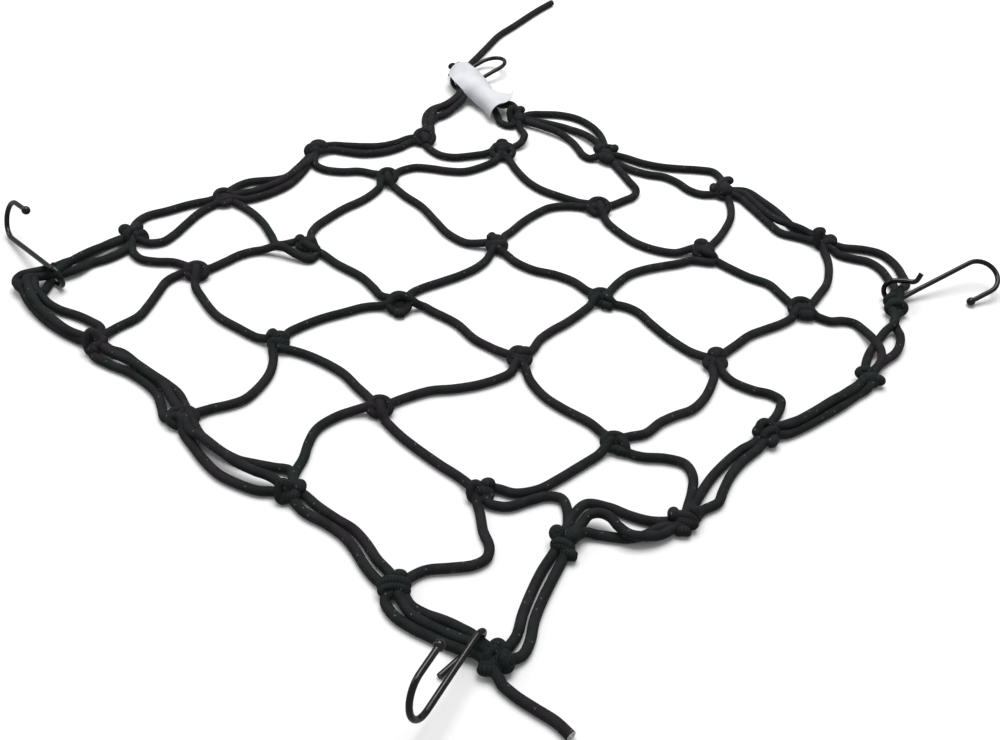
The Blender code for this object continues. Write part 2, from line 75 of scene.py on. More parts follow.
# Cord spans from left to right, one row for each row of knots from the second.
SPANS_ALONG: tuple[tuple[tuple[Point, ...], ...], ...] = (
    (((-175, -126), (-165, -127), (-157, -122), (-150, -115), (-143, -112)),
     ((-122, -119), (-110, -123), (-90, -127), (-72, -125), (-60, -123)),
     ((-38, -116), (-25, -111), (-5, -108), (10, -110), (19, -111)),
     ((40, -117), (55, -119), (80, -119), (96, -118)),
     ((118, -120), (125, -115), (129, -105), (133, -96), (139, -92), (145, -95), (151, -101))),
    (((-180, -48), (-165, -47), (-150, -49), (-135, -54), (-124, -57.5)),
     ((-101, -44), (-85, -44), (-65, -42), (-52, -44), (-43, -46)),
     ((-20, -35), (-12, -34), (5, -32), (22, -34.5), (35, -33)),
     ((60, -33), (68, -38), (82, -42), (95, -42), (112, -40), (120, -41)),
     ((140, -43), (147, -40), (156, -32), (165, -28), (173, -32), (180, -42), (184, -50))),
    (((-184, 21), (-175, 21), (-165, 28), (-158, 37), (-151, 41)),
     ((-128, 41), (-115, 39), (-98, 38), (-80, 33), (-65, 29), (-50, 30)),
     ((-25, 39.5), (-15, 38), (-2, 40), (10, 46), (22, 49), (33, 48)),
     ((54, 50), (60, 53), (68, 54), (80, 51), (95, 48), (110, 47)),
     ((135, 45.5), (143, 43.5), (155, 46), (163, 50), (170, 50), (174, 43), (176, 36), (177, 30))),
    (((-155, 95), (-148, 93), (-138, 93), (-130, 98), (-125, 106), (-120, 116)),
     ((-103, 124), (-90, 118), (-75, 113), (-62, 112), (-48, 115), (-35, 119)),
     ((-11, 117), (-5, 114), (8, 111), (20, 110), (33, 113), (44, 120)),
     ((65, 132), (75, 132), (90, 133), (103, 136), (113, 133), (121, 130)),
     ((142, 130), (149, 132), (154, 138), (160, 141), (168, 138, 3.5), (177.5, 132, 5.5),
      (185.5, 125.5, 6.5), (190.5, 118.5, 6), (192, 112, 5))),
)
# Cord spans from front to back, one row for each column of knots from the second.
SPANS_ACROSS: tuple[tuple[tuple[Point, ...], ...], ...] = (
    (((-117, -176), (-118, -160), (-123, -150), (-130, -139), (-136, -129), (-137, -121)),
     ((-130, -101), (-130, -92), (-130, -80), (-126, -69), (-117, -61, 6.5), (-106, -57, 4), (-99, -53)),
     ((-119, -36), (-124, -28), (-127, -15), (-129, 0), (-129, 15), (-131, 26), (-134, 34)),
     ((-140, 55), (-140, 60), (-137, 69), (-129, 76), (-120, 82), (-112, 90), (-109, 100), (-108, 115)),
     ((-113, 139), (-112, 145, 4), (-114, 151, 6), (-120, 157, 4), (-128, 162))),
    (((-28, -178), (-24, -168), (-22, -160), (-24, -150), (-30, -137), (-38, -128)),
     ((-51, -108), (-51, -98), (-49, -85), (-45, -72), (-41, -60), (-36, -53)),
     ((-33, -32), (-33, -24), (-30, -10), (-27.5, 2), (-26.5, 15), (-28, 25), (-31, 32)),
     ((-39, 53), (-40, 60), (-43, 75), (-44, 88), (-43, 100), (-37, 110), (-30, 116)),
     ((-18, 134), (-17, 142), (-16, 152), (-20, 160), (-30, 165), (-43, 171), (-55, 176))),
    (((38, -174), (33, -165), (26, -156), (21, -147), (20, -137), (22, -126)),
     ((32, -102), (34, -94), (38, -83), (45, -73), (51, -62), (55, -50), (56, -41)),
     ((50, -16), (47, -8), (46, 3), (46.5, 15), (46, 27), (45, 37)),
     ((43, 59), (41, 68), (40, 80), (43, 92), (48, 103), (53, 113), (56, 121)),
     ((54, 145), (52, 155), (48, 168), (43, 180), (36, 190), (29, 197))),
    (((126, -176), (128, -170), (134, -162), (140, -153), (141, -146), (137, -140), (128, -135),
      (119, -128)),
     ((113, -110), (121, -106), (127, -96), (129, -83), (130, -70), (131, -55)),
     ((133, -33), (137, -25), (137, -12), (139, -2), (142, 8), (141, 20), (137, 32), (133, 40)),
     ((125, 62), (125, 72), (125, 85), (128, 97), (131, 108), (132, 117)),
     ((132, 139), (130, 150), (127, 163), (121, 175), (114, 185), (106, 193))),
)

# The strands of the border, outermost first, for each span of each side in the order of travel
# round the net. A third number is the height of the strand's middle line.
BORDER_STRANDS: dict[str, tuple[tuple[tuple[Point, ...], ...], ...]] = {
    "front": (
        (((-184.5, -194.8, 5.5), (-178, -195.3, 5), (-171, -197, 4), (-160, -198.5, 3), (-146.5, -198.8),
          (-133, -197.4), (-122, -195)),
         ((-180, -190.5, 10), (-172, -194, 9), (-163.5, -196.5, 8), (-155, -197.3, 6.5),
          (-143, -197.2, 5.5), (-129.5, -196, 5), (-120, -193, 5)),
         ((-177, -188, 9), (-171, -191, 8), (-165.3, -190.9, 6), (-159, -190.4, 4), (-151, -187.8),
          (-140.5, -183.6), (-131.6, -181.4), (-123, -180.5))),
        (((-104, -196.5), (-93, -194.5), (-80, -190.5), (-66, -189), (-55, -190), (-45, -194),
          (-37, -197.5)),
         ((-99, -190, 5), (-84, -187, 6), (-70, -185.5, 6), (-56, -185, 6), (-44, -188, 5)),
         ((-103, -187), (-96, -184), (-83, -183.5), (-70, -182.5), (-59, -181.5), (-49, -181.5),
          (-40, -184))),
        (((-22, -197), (-10, -199.5), (2, -201.5), (14, -202), (25, -199.5), (36, -195), (42, -189.5)),
         ((-18, -195.5, 5), (-11, -195.2, 7.5), (4, -194.8, 8), (18, -193.8, 8), (28, -190.5, 7),
          (35, -187, 6)),
         ((-15, -192, 3), (-5, -192), (5, -191), (13, -189), (20, -185), (28, -180), (36, -175.5, 3))),
        (((51, -187), (62, -188), (74, -185.5), (85, -184.5), (95, -186), (107, -189.5), (116, -191)),
         ((52, -181), (63, -181), (75, -180), (86, -178.5), (97, -180), (108, -183), (117, -184))),
        (((127.5, -196), (136, -199), (147, -198), (155, -195.8), (161, -194.3), (166, -192.8, 3),
          (172, -191, 4), (177, -189, 5)),
         ((133, -191.5, 4), (142, -194, 4), (151, -192.8, 4), (158, -190.5, 3.5), (163, -189, 4),
          (168, -188, 5), (174, -187, 7)),
         ((131, -188), (138, -190), (146, -188.5), (152, -186.3, 3), (157, -184.5, 3), (162, -183.6, 3.5),
          (168.5, -183.2, 5), (175, -184.5, 7))),
    ),
    "right": (
        (((190, -174), (187, -166), (181, -157), (176, -147), (171, -135), (166, -122)),
         ((183, -176), (181, -168), (175, -158), (170, -148), (164, -134), (160, -121))),
        (((162, -102, 4), (166.5, -97.5), (172, -93.5), (178, -88.5), (182, -81), (184, -72)),
         ((158, -99, 5), (157.5, -94, 6.5), (160.5, -90, 7.5), (166, -88.7, 8), (172.5, -90, 7.5),
          (179, -89, 6.5), (184, -84, 5.5), (188, -76, 4)),
         ((151, -97, 4), (150.5, -87, 4), (158, -80), (169, -76.5), (178, -72), (184, -66))),
        (((191, -48), (193, -38), (190, -30), (186, -18), (184, -5), (184, 8)),
         ((186, -49), (183, -38), (180, -25), (178.5, -10), (178.5, 2), (180, 12))),
        (((188, 30), (191, 42), (193, 55), (195, 70), (196, 85), (197, 93)),
         ((182, 32), (186, 45), (188.5, 60), (190, 75), (191.5, 90)),
         ((186, 34, 6), (189, 50, 6), (191, 68, 6), (193.5, 84, 6))),
        (((191.5, 110, 3), (191, 124, 3), (191.5, 132, 3), (190, 140, 3.5), (186, 148, 4), (179.5, 155, 3),
          (175, 160, 3)),
         ((187, 108, 4), (184, 114.5, 3), (181, 123), (178.5, 136), (177, 147, 3.5), (178, 154, 6.5),
          (173.5, 161, 7))),
    ),
    "back": (
        (((165, 182, 9), (162, 196, 5), (153, 207.5), (143, 215), (132, 218), (122, 214), (112, 206),
          (106, 204)),
         ((163, 178, 5), (158.5, 189, 4), (149.5, 197), (140, 203), (131, 204), (123, 200), (115, 197),
          (108, 199))),
        (((87, 204), (80, 201), (72, 204), (60, 209), (45, 213), (30, 215)),
         ((86, 199, 6), (76, 196, 7), (66, 196.5, 6), (55, 200, 5), (42, 206, 4), (32, 209, 4)),
         ((88, 195), (75, 190), (65, 193), (55, 197), (42, 202), (32, 205))),
        (((10, 215), (0, 219), (-8, 214), (-18, 205), (-28, 197), (-40, 191), (-54, 187)),
         ((17, 194), (12, 189), (4, 187), (-8, 189), (-18, 188), (-28, 182), (-40, 178), (-54, 177))),
        (((-73, 190), (-85, 199), (-98, 204), (-112, 204.5), (-124, 199), (-132, 191), (-138, 183)),
         ((-76, 186, 4), (-90, 189, 4), (-105, 188.5), (-118, 184), (-129, 178)),
         ((-68, 168), (-74, 168), (-82, 172), (-93, 176.5), (-105, 177, 4), (-117, 175, 4),
          (-128, 172, 4))),
        (((-140.5, 172.6, 6), (-145.8, 175.4, 7), (-152.8, 177, 7), (-156, 173.5, 6), (-162, 172, 6),
          (-175, 177, 7), (-190, 183, 7), (-204, 188, 6), (-212, 191, 6)),
         ((-134.8, 161.5, 3), (-138, 158.3), (-144, 158), (-151.6, 162.3, 4), (-160, 166.5, 5),
          (-172, 171, 6), (-187, 177, 6), (-203, 184, 6), (-211, 187, 6))),
    ),
    "left": (
        (((-215, 182, 6), (-203, 174, 7), (-190.3, 162.3, 6), (-188, 152.4, 4), (-188, 143.2, 3),
          (-189.5, 135.5), (-187, 127), (-181, 119), (-174, 113)),
         ((-211, 181, 7), (-198, 172, 8), (-186.5, 160, 8), (-184, 150, 7), (-183, 140, 6), (-183, 131, 6),
          (-176, 120, 5), (-169, 112)),
         ((-208, 184, 7), (-196, 173, 7), (-182.7, 158.8, 6), (-179.7, 147, 4), (-177.6, 136, 3),
          (-178, 126, 3), (-174, 118, 3), (-166, 111))),
        (((-169, 92), (-170, 82), (-174, 70), (-181, 61), (-190, 52), (-196, 46)),
         ((-164, 90), (-164, 78), (-167, 65), (-174, 54), (-184, 47), (-191, 42))),
        (((-193, 22), (-187, 8), (-183, -4), (-185, -13, 3), (-190, -19), (-194, -27), (-194, -37)),
         ((-189, 22, 4), (-183, 8, 5), (-179, -6, 5), (-178, -20, 5), (-181, -33, 4), (-184, -40, 4)),
         ((-188, 20), (-180, 5), (-175, -8), (-174, -20), (-175, -32), (-178, -41))),
        (((-192, -59), (-196, -70), (-199, -85), (-202, -98), (-199, -108)),
         ((-186, -59), (-184, -72), (-179, -85), (-174, -97), (-172, -107), (-176, -114))),
        (((-191, -128), (-190.5, -140), (-189, -152), (-187, -163, 5), (-184.5, -172, 7),
          (-185.1, -179.7, 8), (-187, -185, 8), (-189.5, -189.5, 7), (-188.5, -193.3, 6),
          (-184.5, -195, 5.5)),
         ((-186, -129, 5), (-185, -145, 7), (-184, -158, 7), (-181.5, -168, 7), (-180.5, -176, 6),
          (-181.5, -183, 7), (-183.5, -189, 8), (-180, -192.5, 7)),
         ((-179, -128), (-178, -140), (-180, -151), (-178, -161, 4), (-179, -168, 4), (-180, -174.5, 3),
          (-177.7, -179.7), (-173.5, -186), (-176.5, -190, 4))),
    ),
}

# The free ends of the border cord, and where the front one rises into the front side's bundle.
TAIL_FRONT: tuple[Point, ...] = ((195, -191.3), (203, -191.2), (212, -190), (222, -188.5), (231, -189))
TAIL_BACK: tuple[Point, ...] = ((-221, 200), (-231, 225), (-238, 242), (-246, 262), (-251, 285),
    (-259, 320), (-263, 344))
TAIL_RISE = (187.5, -189.5, 4.5)


# --- Curves and surfaces -----------------------------------------------------------------------
def to_world(points: np.ndarray) -> np.ndarray:
    """Net millimetres to the frame's metres."""
    return (np.asarray(points, float) - NET_CENTRE) * MM


def lifted(points: tuple[Point, ...]) -> np.ndarray:
    """Points as rows of three; one with no height lies on the surface."""
    return np.array([(*point, GROUND)[:3] if len(point) == 2 else point for point in points], float)


def unit(vectors: np.ndarray) -> np.ndarray:
    """Vectors, one to a row or alone, at length 1."""
    vectors = np.asarray(vectors, float)
    return vectors / np.linalg.norm(vectors, axis=-1, keepdims=True)


def lengths_along(points: np.ndarray) -> np.ndarray:
    """Distance along a line of points to each of them."""
    return np.concatenate([[0.0], np.cumsum(np.linalg.norm(np.diff(points, axis=0), axis=1))])


def smooth_line(points: np.ndarray, step: float, lowest: float = GROUND) -> np.ndarray:
    """An evenly spaced smooth line through points.

    A centripetal Catmull-Rom spline: between two points it blends the three straight lines
    through four neighbours, with knots spaced by the square root of the distances.

    Args:
        points: The points to pass through, one to a row.
        step: Distance between the new points, about.
        lowest: Least height of the line, in millimetres.

    Returns:
        The new points, one to a row.
    """
    closest, finer = 0.3, 24  # points nearer than this are one; new points first drawn in each gap
    keep = np.concatenate([[True], np.linalg.norm(np.diff(points, axis=0), axis=1) > closest])
    p = points[keep]
    p = np.vstack([2 * p[0] - p[1], p, 2 * p[-1] - p[-2]])
    gaps = np.sqrt(np.linalg.norm(np.diff(p, axis=0), axis=1))
    a, b, c, d = p[:-3, None], p[1:-2, None], p[2:-1, None], p[3:, None]
    t1 = gaps[:-2, None, None]
    t2 = t1 + gaps[1:-1, None, None]
    t3 = t2 + gaps[2:, None, None]
    t = t1 + (t2 - t1) * np.linspace(0, 1, finer, endpoint=False)[None, :, None]
    ab = (t1 - t) / t1 * a + t / t1 * b
    bc = (t2 - t) / (t2 - t1) * b + (t - t1) / (t2 - t1) * c
    cd = (t3 - t) / (t3 - t2) * c + (t - t2) / (t3 - t2) * d
    abc = (t2 - t) / t2 * ab + t / t2 * bc
    bcd = (t3 - t) / (t3 - t1) * bc + (t - t1) / (t3 - t1) * cd
    dense = ((t2 - t) / (t2 - t1) * abc + (t - t1) / (t2 - t1) * bcd).reshape(-1, 3)
    dense = np.vstack([dense, p[-2]])
    along = lengths_along(dense)
    at = np.linspace(0, along[-1], max(3, round(along[-1] / step) + 1))
    line = np.column_stack([np.interp(at, along, axis) for axis in dense.T])
    line[:, 2] = np.maximum(line[:, 2], lowest)
    return line


def carried_frames(line: np.ndarray) -> tuple[np.ndarray, np.ndarray]:
    """Two directions across a line at each point, carried along it without twist.

    The second is the one before it, less its part along the line's new direction; the first is
    its cross product with that direction.

    Args:
        line: Points, one to a row.

    Returns:
        Two sets of directions, one to a row.
    """
    ahead = unit(np.gradient(line, axis=0))
    ups = np.empty_like(ahead)
    up = np.array([0.0, 0.0, 1.0]) if abs(ahead[0, 2]) < 0.9 else np.array([1.0, 0.0, 0.0])
    for index, direction in enumerate(ahead):
        up = up - direction * (up @ direction)
        up = up / np.linalg.norm(up)
        ups[index] = up
    return np.cross(ups, ahead), ups


def circles(first: np.ndarray, second: np.ndarray, sides: int) -> np.ndarray:
    """Unit circles through pairs of directions: cosine times the first plus sine times the second.

    Args:
        first: Directions at angle zero, one to a row.
        second: Directions at a quarter turn.
        sides: Points round each circle.

    Returns:
        Points shaped (rows, sides, 3).
    """
    angle = 2 * np.pi * np.arange(sides) / sides
    return np.cos(angle)[None, :, None] * first[:, None] + np.sin(angle)[None, :, None] * second[:, None]


@dataclass
class SkinMesh:
    """Collects surfaces made of rings and makes one mesh of them, with a UV map along and around."""

    points: list[np.ndarray] = field(default_factory=list)
    corners: list[np.ndarray] = field(default_factory=list)
    sizes: list[np.ndarray] = field(default_factory=list)
    uvs: list[np.ndarray] = field(default_factory=list)
    slots: list[np.ndarray] = field(default_factory=list)
    count: int = 0

    def add_rings(
        self, rings: np.ndarray, along: np.ndarray, rounds: float = 1.0, caps: tuple[int, int] = (0, 0)
    ) -> None:
        """A surface of rings, each joined to the next, with U the share of the way round.

        Args:
            rings: Points in net millimetres, shaped (rings, points round, 3).
            along: V of each ring; with one value more, the last ring joins the first.
            rounds: How far U runs in one way round.
            caps: Material index of the flat faces that close the two ends, where it has ends.
        """
        rows, sides = rings.shape[:2]
        index = self.count + np.arange(rows * sides).reshape(rows, sides)
        steps = np.vstack([index, index[:1]]) if len(along) > rows else index
        after = np.roll(steps, -1, axis=1)
        quads = np.stack([steps[:-1], after[:-1], after[1:], steps[1:]], axis=-1).reshape(-1, 4)
        around = rounds * np.arange(sides + 1) / sides
        u = np.stack([around[:-1], around[1:], around[1:], around[:-1]], axis=-1)[None]
        v = np.stack([along[:-1], along[:-1], along[1:], along[1:]], axis=-1)[:, None]
        self.points.append(to_world(rings).reshape(-1, 3))
        self.corners.append(quads.reshape(-1))
        self.sizes.append(np.full(len(quads), 4))
        self.uvs.append(np.stack(np.broadcast_arrays(u, v), axis=-1).reshape(-1, 2))
        self.slots.append(np.zeros(len(quads), int))
        if len(along) == rows:
            self.corners.append(np.concatenate([index[0][::-1], index[-1]]))
            self.sizes.append(np.array([sides, sides]))
            self.uvs.append(np.zeros((2 * sides, 2)))
            self.slots.append(np.array(caps))
        self.count += rows * sides

    def add_tube(
        self, line: np.ndarray, radius: float | np.ndarray, sides: int, rounds: float = 1.0,
        caps: tuple[int, int] = (0, 0),
    ) -> None:
        """A closed round tube: circles of a radius across a line, which V follows in metres.

        Args:
            line: Middle line in net millimetres, one point to a row.
            radius: Radius in millimetres, one number or one for each point.
            sides: Points round the tube.
            rounds: How far U runs in one way round.
            caps: Material index of the faces on the two ends.
        """
        radii = np.broadcast_to(np.asarray(radius, float), (len(line),))[:, None, None]
        rings = line[:, None] + radii * circles(*carried_frames(line), sides)
        self.add_rings(rings, lengths_along(line) * MM, rounds, caps)

    def add_loop(self, line: np.ndarray, radius: float, sides: int) -> None:
        """A round tube that closes on itself: circles across a flat line whose ends meet.

        Args:
            line: Middle line in net millimetres; the first point isn't repeated.
            radius: Radius in millimetres.
            sides: Points round the tube.
        """
        ahead = unit(np.roll(line, -1, axis=0) - np.roll(line, 1, axis=0))
        middle = line.mean(axis=0)
        normal = unit(np.cross(line[0] - middle, line[len(line) // 4] - middle))
        across = unit(np.cross(normal, ahead))
        rings = line[:, None] + radius * circles(across, np.cross(ahead, across), sides)
        self.add_rings(rings, lengths_along(np.vstack([line, line[:1]])) * MM)

    def build(self, name: str, *finishes: bpy.types.Material) -> bpy.types.Object:
        """The object, at the origin, with its materials on its slots in order.

        Args:
            name: Name of the object and its mesh.
            *finishes: Materials in slot order.

        Returns:
            The new object, linked to the scene.
        """
        points, corners = np.concatenate(self.points), np.concatenate(self.corners)
        sizes, uvs = np.concatenate(self.sizes), np.concatenate(self.uvs)
        starts = np.concatenate([[0], np.cumsum(sizes)[:-1]])
        mesh = bpy.data.meshes.new(name)
        mesh.vertices.add(len(points))
        mesh.vertices.foreach_set("co", points.reshape(-1).astype(np.float32))
        mesh.loops.add(len(corners))
        mesh.loops.foreach_set("vertex_index", corners.astype(np.int32))
        mesh.polygons.add(len(sizes))
        mesh.polygons.foreach_set("loop_start", starts.astype(np.int32))
        mesh.polygons.foreach_set("loop_total", sizes.astype(np.int32))
        mesh.polygons.foreach_set("material_index", np.concatenate(self.slots).astype(np.int32))
        mesh.polygons.foreach_set("use_smooth", np.ones(len(sizes), bool))
        layer = mesh.uv_layers.new(name="Along")
        layer.data.foreach_set("uv", uvs.reshape(-1).astype(np.float32))
        mesh.update(calc_edges=True)
        mesh.validate()
        mesh.set_sharp_from_angle(angle=math.radians(SHARP))
        made = bpy.data.objects.new(name, mesh)
        for finish in finishes:
            mesh.materials.append(finish)
        bpy.context.scene.collection.objects.link(made)
        return made


# --- Finishes ----------------------------------------------------------------------------------
class NodeSheet:
    """A short hand for laying out a material's nodes."""

    def __init__(self, name: str) -> None:
        """Start a material whose only nodes are its shader and output."""
        self.material = bpy.data.materials.new(name)
        self.material.use_nodes = True
        self.nodes = self.material.node_tree.nodes
        self.links = self.material.node_tree.links
        self.shader = self.nodes["Principled BSDF"]

    def feed(self, socket: bpy.types.NodeSocket, value: object) -> None:
        """Link an output into an input, or set a number or colour there; None does nothing."""
        if isinstance(value, bpy.types.NodeSocket):
            self.links.new(value, socket)
        elif value is not None:
            socket.default_value = value

    def add(self, kind: str, *inputs: object, **settings: object) -> bpy.types.Node:
        """A node with its settings, and its inputs in order: sockets, numbers or None to skip.

        Args:
            kind: Blender's name of the node type.
            *inputs: What goes into each input socket.
            **settings: The node's own properties.

        Returns:
            The new node.
        """
        node = self.nodes.new(kind)
        for key, value in settings.items():
            setattr(node, key, value)
        for socket, value in zip(node.inputs, inputs):
            self.feed(socket, value)
        return node

    def place(self) -> bpy.types.NodeSocket:
        """The point's place on the object, in metres."""
        return self.add("ShaderNodeTexCoord").outputs["Object"]

    def math(self, operation: str, *inputs: object) -> bpy.types.NodeSocket:
        """The result of one Math node."""
        return self.add("ShaderNodeMath", *inputs, operation=operation).outputs[0]

    def ramp(self, value: bpy.types.NodeSocket, low: float, high: float) -> bpy.types.NodeSocket:
        """The value's place between two limits, from 0 to 1 and smooth."""
        node = self.add("ShaderNodeMapRange", value, low, high, 0.0, 1.0)
        node.interpolation_type = "SMOOTHSTEP"
        return node.outputs[0]

    def mix(self, share: object, first: object, second: object) -> bpy.types.NodeSocket:
        """A colour between two colours."""
        node = self.add("ShaderNodeMix", share, data_type="RGBA")
        self.feed(node.inputs[6], first)
        self.feed(node.inputs[7], second)
        return node.outputs[2]

    def noise(self, place: bpy.types.NodeSocket, scale: float, detail: float) -> bpy.types.NodeSocket:
        """Soft noise at a scale, in features a metre."""
        node = self.add("ShaderNodeTexNoise", place)
        node.inputs["Scale"].default_value = scale
        node.inputs["Detail"].default_value = detail
        return node.outputs["Fac"]

    def bump(self, height: bpy.types.NodeSocket, depth: float, strength: float) -> None:
        """Raise the surface by a height, whose unit is depth in metres."""
        node = self.add("ShaderNodeBump")
        node.inputs["Strength"].default_value = strength
        node.inputs["Distance"].default_value = depth
        self.links.new(height, node.inputs["Height"])
        self.links.new(node.outputs[0], self.shader.inputs["Normal"])

    def set(self, **values: object) -> None:
        """Numbers, colours or sockets for the shader's inputs, with _ for a space in a name."""
        for key, value in values.items():
            self.feed(self.shader.inputs[key.replace("_", " ")], value)


@dataclass(frozen=True)
class BraidedSheath:
    """The cord's braided cover: fine crossing yarns, matt, with a few pale flecks and painted shade in the
    gaps between the yarns.
    """

    # painted shade: the colour in the gaps between yarns, deepened at random by wear marks
    dark: tuple[float, ...] = (0.004, 0.004, 0.0045, 1.0)
    cool: tuple[float, ...] = (0.017, 0.024, 0.023, 1.0)
    warm: tuple[float, ...] = (0.028, 0.023, 0.029, 1.0)
    fleck: tuple[float, ...] = (0.10, 0.10, 0.10, 1.0)
    fleck_share: float = 0.008
    patches: float = 22.0  # of cool and warm tint, a metre
    wear: float = 140.0  # marks a metre
    relief: float = 0.35 * MM  # of the yarns

    def material(self) -> bpy.types.Material:
        """The material.

        Yarns run both ways round the cord: along each, the sum or the difference of the share
        round and the length is constant. Where they cross, the one whose cell number is even
        lies on top, and its height falls off to its edges as a parabola. The colour darkens
        towards each yarn's edges as painted shade in the gaps between yarns, mixed half and half
        with random wear marks.
        """
        sheet = NodeSheet("braided_sheath")
        uv = sheet.add("ShaderNodeUVMap", uv_map="Along").outputs[0]
        split = sheet.add("ShaderNodeSeparateXYZ", uv).outputs
        around = sheet.math("MULTIPLY", split[0], float(YARNS))
        along = sheet.math("MULTIPLY", split[1], YARNS / (math.pi * (CORD * MM)))
        right = sheet.math("ADD", around, along)
        left = sheet.math("SUBTRACT", around, along)
        heights, cells = [], []
        for turn in (right, left):
            place = sheet.math("SUBTRACT", sheet.math("FRACT", turn), 0.5)
            square = sheet.math("MULTIPLY", place, place)
            heights.append(sheet.math("SUBTRACT", 1.0, sheet.math("MULTIPLY", square, 4.0)))
            cells.append(sheet.math("FLOOR", turn))
        parity = sheet.math("FLOORED_MODULO", sheet.math("ADD", cells[0], cells[1]), 2.0)
        height = sheet.add("ShaderNodeMix", parity, None, *heights, data_type="FLOAT").outputs[0]
        cell = sheet.add("ShaderNodeCombineXYZ", *cells, 0.0).outputs[0]
        chance = sheet.add("ShaderNodeTexWhiteNoise", cell, noise_dimensions="3D").outputs["Value"]
        place = sheet.place()
        tint = sheet.ramp(sheet.noise(place, self.patches, 2.0), 0.35, 0.65)
        shade = sheet.ramp(sheet.noise(place, self.wear, 3.0), 0.3, 0.7)
        colour = sheet.mix(tint, self.cool, self.warm)
        # painted shade in the gaps between yarns, where the yarn height falls off, blended half and half with
        # random wear marks
        yarn_gap_shade_and_wear = sheet.math("MULTIPLY", sheet.math("ADD", height, shade), 0.5)
        colour = sheet.mix(yarn_gap_shade_and_wear, self.dark, colour)
        flecks = sheet.math("MULTIPLY", sheet.math("LESS_THAN", chance, self.fleck_share), height)
        colour = sheet.mix(flecks, colour, self.fleck)
        rough = sheet.math("ADD", sheet.math("MULTIPLY", shade, 0.12), 0.62)
        sheet.set(Base_Color=colour, Roughness=rough, Specular_IOR_Level=0.15)
        sheet.bump(height, self.relief, 0.7)
        return sheet.material


@dataclass(frozen=True)
class CutRubber:
    """The cord's cut end: pale rubber threads packed in the sheath."""

    core: tuple[float, ...] = (0.72, 0.72, 0.70, 1.0)
    # painted shade in the gaps between the rubber threads
    gap: tuple[float, ...] = (0.22, 0.22, 0.22, 1.0)

    def material(self) -> bpy.types.Material:
        """Round cells about a millimetre across, with painted shade darkening the gaps between them."""
        sheet = NodeSheet("cut_rubber")
        place = sheet.place()
        cells = sheet.add("ShaderNodeTexVoronoi", place)
        cells.inputs["Scale"].default_value = 900.0
        colour = sheet.mix(sheet.ramp(cells.outputs["Distance"], 0.45, 0.8), self.core, self.gap)
        sheet.set(Base_Color=colour, Roughness=0.6)
        sheet.bump(cells.outputs["Distance"], -0.0003, 0.6)
        return sheet.material


@dataclass(frozen=True)
class CoatedWire:
    """The hooks' glossy black coating, a little uneven."""

    colour: tuple[float, ...] = (0.004, 0.004, 0.0045, 1.0)
    rubbed: tuple[float, ...] = (0.014, 0.014, 0.015, 1.0)

    def material(self) -> bpy.types.Material:
        """Dark gloss whose roughness and colour drift along the wire."""
        sheet = NodeSheet("coated_wire")
        place = sheet.place()
        wear = sheet.ramp(sheet.noise(place, 160.0, 4.0), 0.5, 0.75)
        grain = sheet.noise(place, 420.0, 2.0)
        sheet.set(Base_Color=sheet.mix(wear, self.colour, self.rubbed),
                  Roughness=sheet.math("ADD", sheet.math("MULTIPLY", wear, 0.1), 0.1),
                  Specular_IOR_Level=0.4)
        sheet.bump(grain, 0.0002, 0.25)
        return sheet.material


@dataclass(frozen=True)
class BlankLabel:
    """The label's white sheet, smooth with soft creases and no print."""

    face: tuple[float, ...] = (0.66, 0.67, 0.70, 1.0)
    shadow: tuple[float, ...] = (0.56, 0.575, 0.61, 1.0)

    def material(self) -> bpy.types.Material:
        """Nearly even white with faint cloudy patches and a fine grain."""
        sheet = NodeSheet("blank_label")
        place = sheet.place()
        cloud = sheet.ramp(sheet.noise(place, 60.0, 2.0), 0.35, 0.75)
        grain = sheet.noise(place, 1500.0, 2.0)
        sheet.set(Base_Color=sheet.mix(cloud, self.face, self.shadow), Roughness=0.5,
                  Specular_IOR_Level=0.4)
        sheet.bump(sheet.math("ADD", sheet.math("MULTIPLY", grain, 0.2), cloud), 0.0004, 0.5)
        return sheet.material


@dataclass(frozen=True)
class PaleFloor:
    """The plain pale surface that the net lies on."""

    colour: tuple[float, ...] = (0.93, 0.93, 0.93, 1.0)

    def material(self) -> bpy.types.Material:
        """A matt white."""
        sheet = NodeSheet("pale_floor")
        sheet.set(Base_Color=self.colour, Roughness=0.9, Specular_IOR_Level=0.1)
        return sheet.material


@dataclass(frozen=True)
class Finishes:
    """The materials of the net, made once."""

    sheath: bpy.types.Material
    rubber: bpy.types.Material
    wire: bpy.types.Material
    label: bpy.types.Material
    floor: bpy.types.Material

    @classmethod
    def make(cls) -> "Finishes":
        """Make every material."""
        return cls(BraidedSheath().material(), CutRubber().material(), CoatedWire().material(),
                   BlankLabel().material(), PaleFloor().material())


# --- Knots -------------------------------------------------------------------------------------
# Places in a knot are in cord diameters from its middle: right, back and up, where right and
# back run along the diagonals of the net.
RIGHT = unit(np.array([1.0, 1.0]))
BACK = unit(np.array([-1.0, 1.0]))
TURN_POINTS = 30  # along a turn
HUMP_POINTS = 19  # along a swell
HUMP_REACH = 86  # degrees either way, of which the sine spaces a swell's points


class Weave(Enum):
    """How the two cords run through an inner knot."""

    LEG = "one leg leaves over the front of the turn"
    ACROSS = "one leg leaves to the right over the turn"
    VEE = "both front legs come out from under the turn"
    BALL = "the legs cross low, behind a round lump"
    CURL = "the cord from the front sweeps round the knot's near side first"


# The usual way of the cord from the left to the back, behind the turns.
BEHIND: tuple[Point, ...] = ((-0.6, 0.7, 0.85), (0.0, 0.55, 0.7), (0.65, 0.6, 0.7))

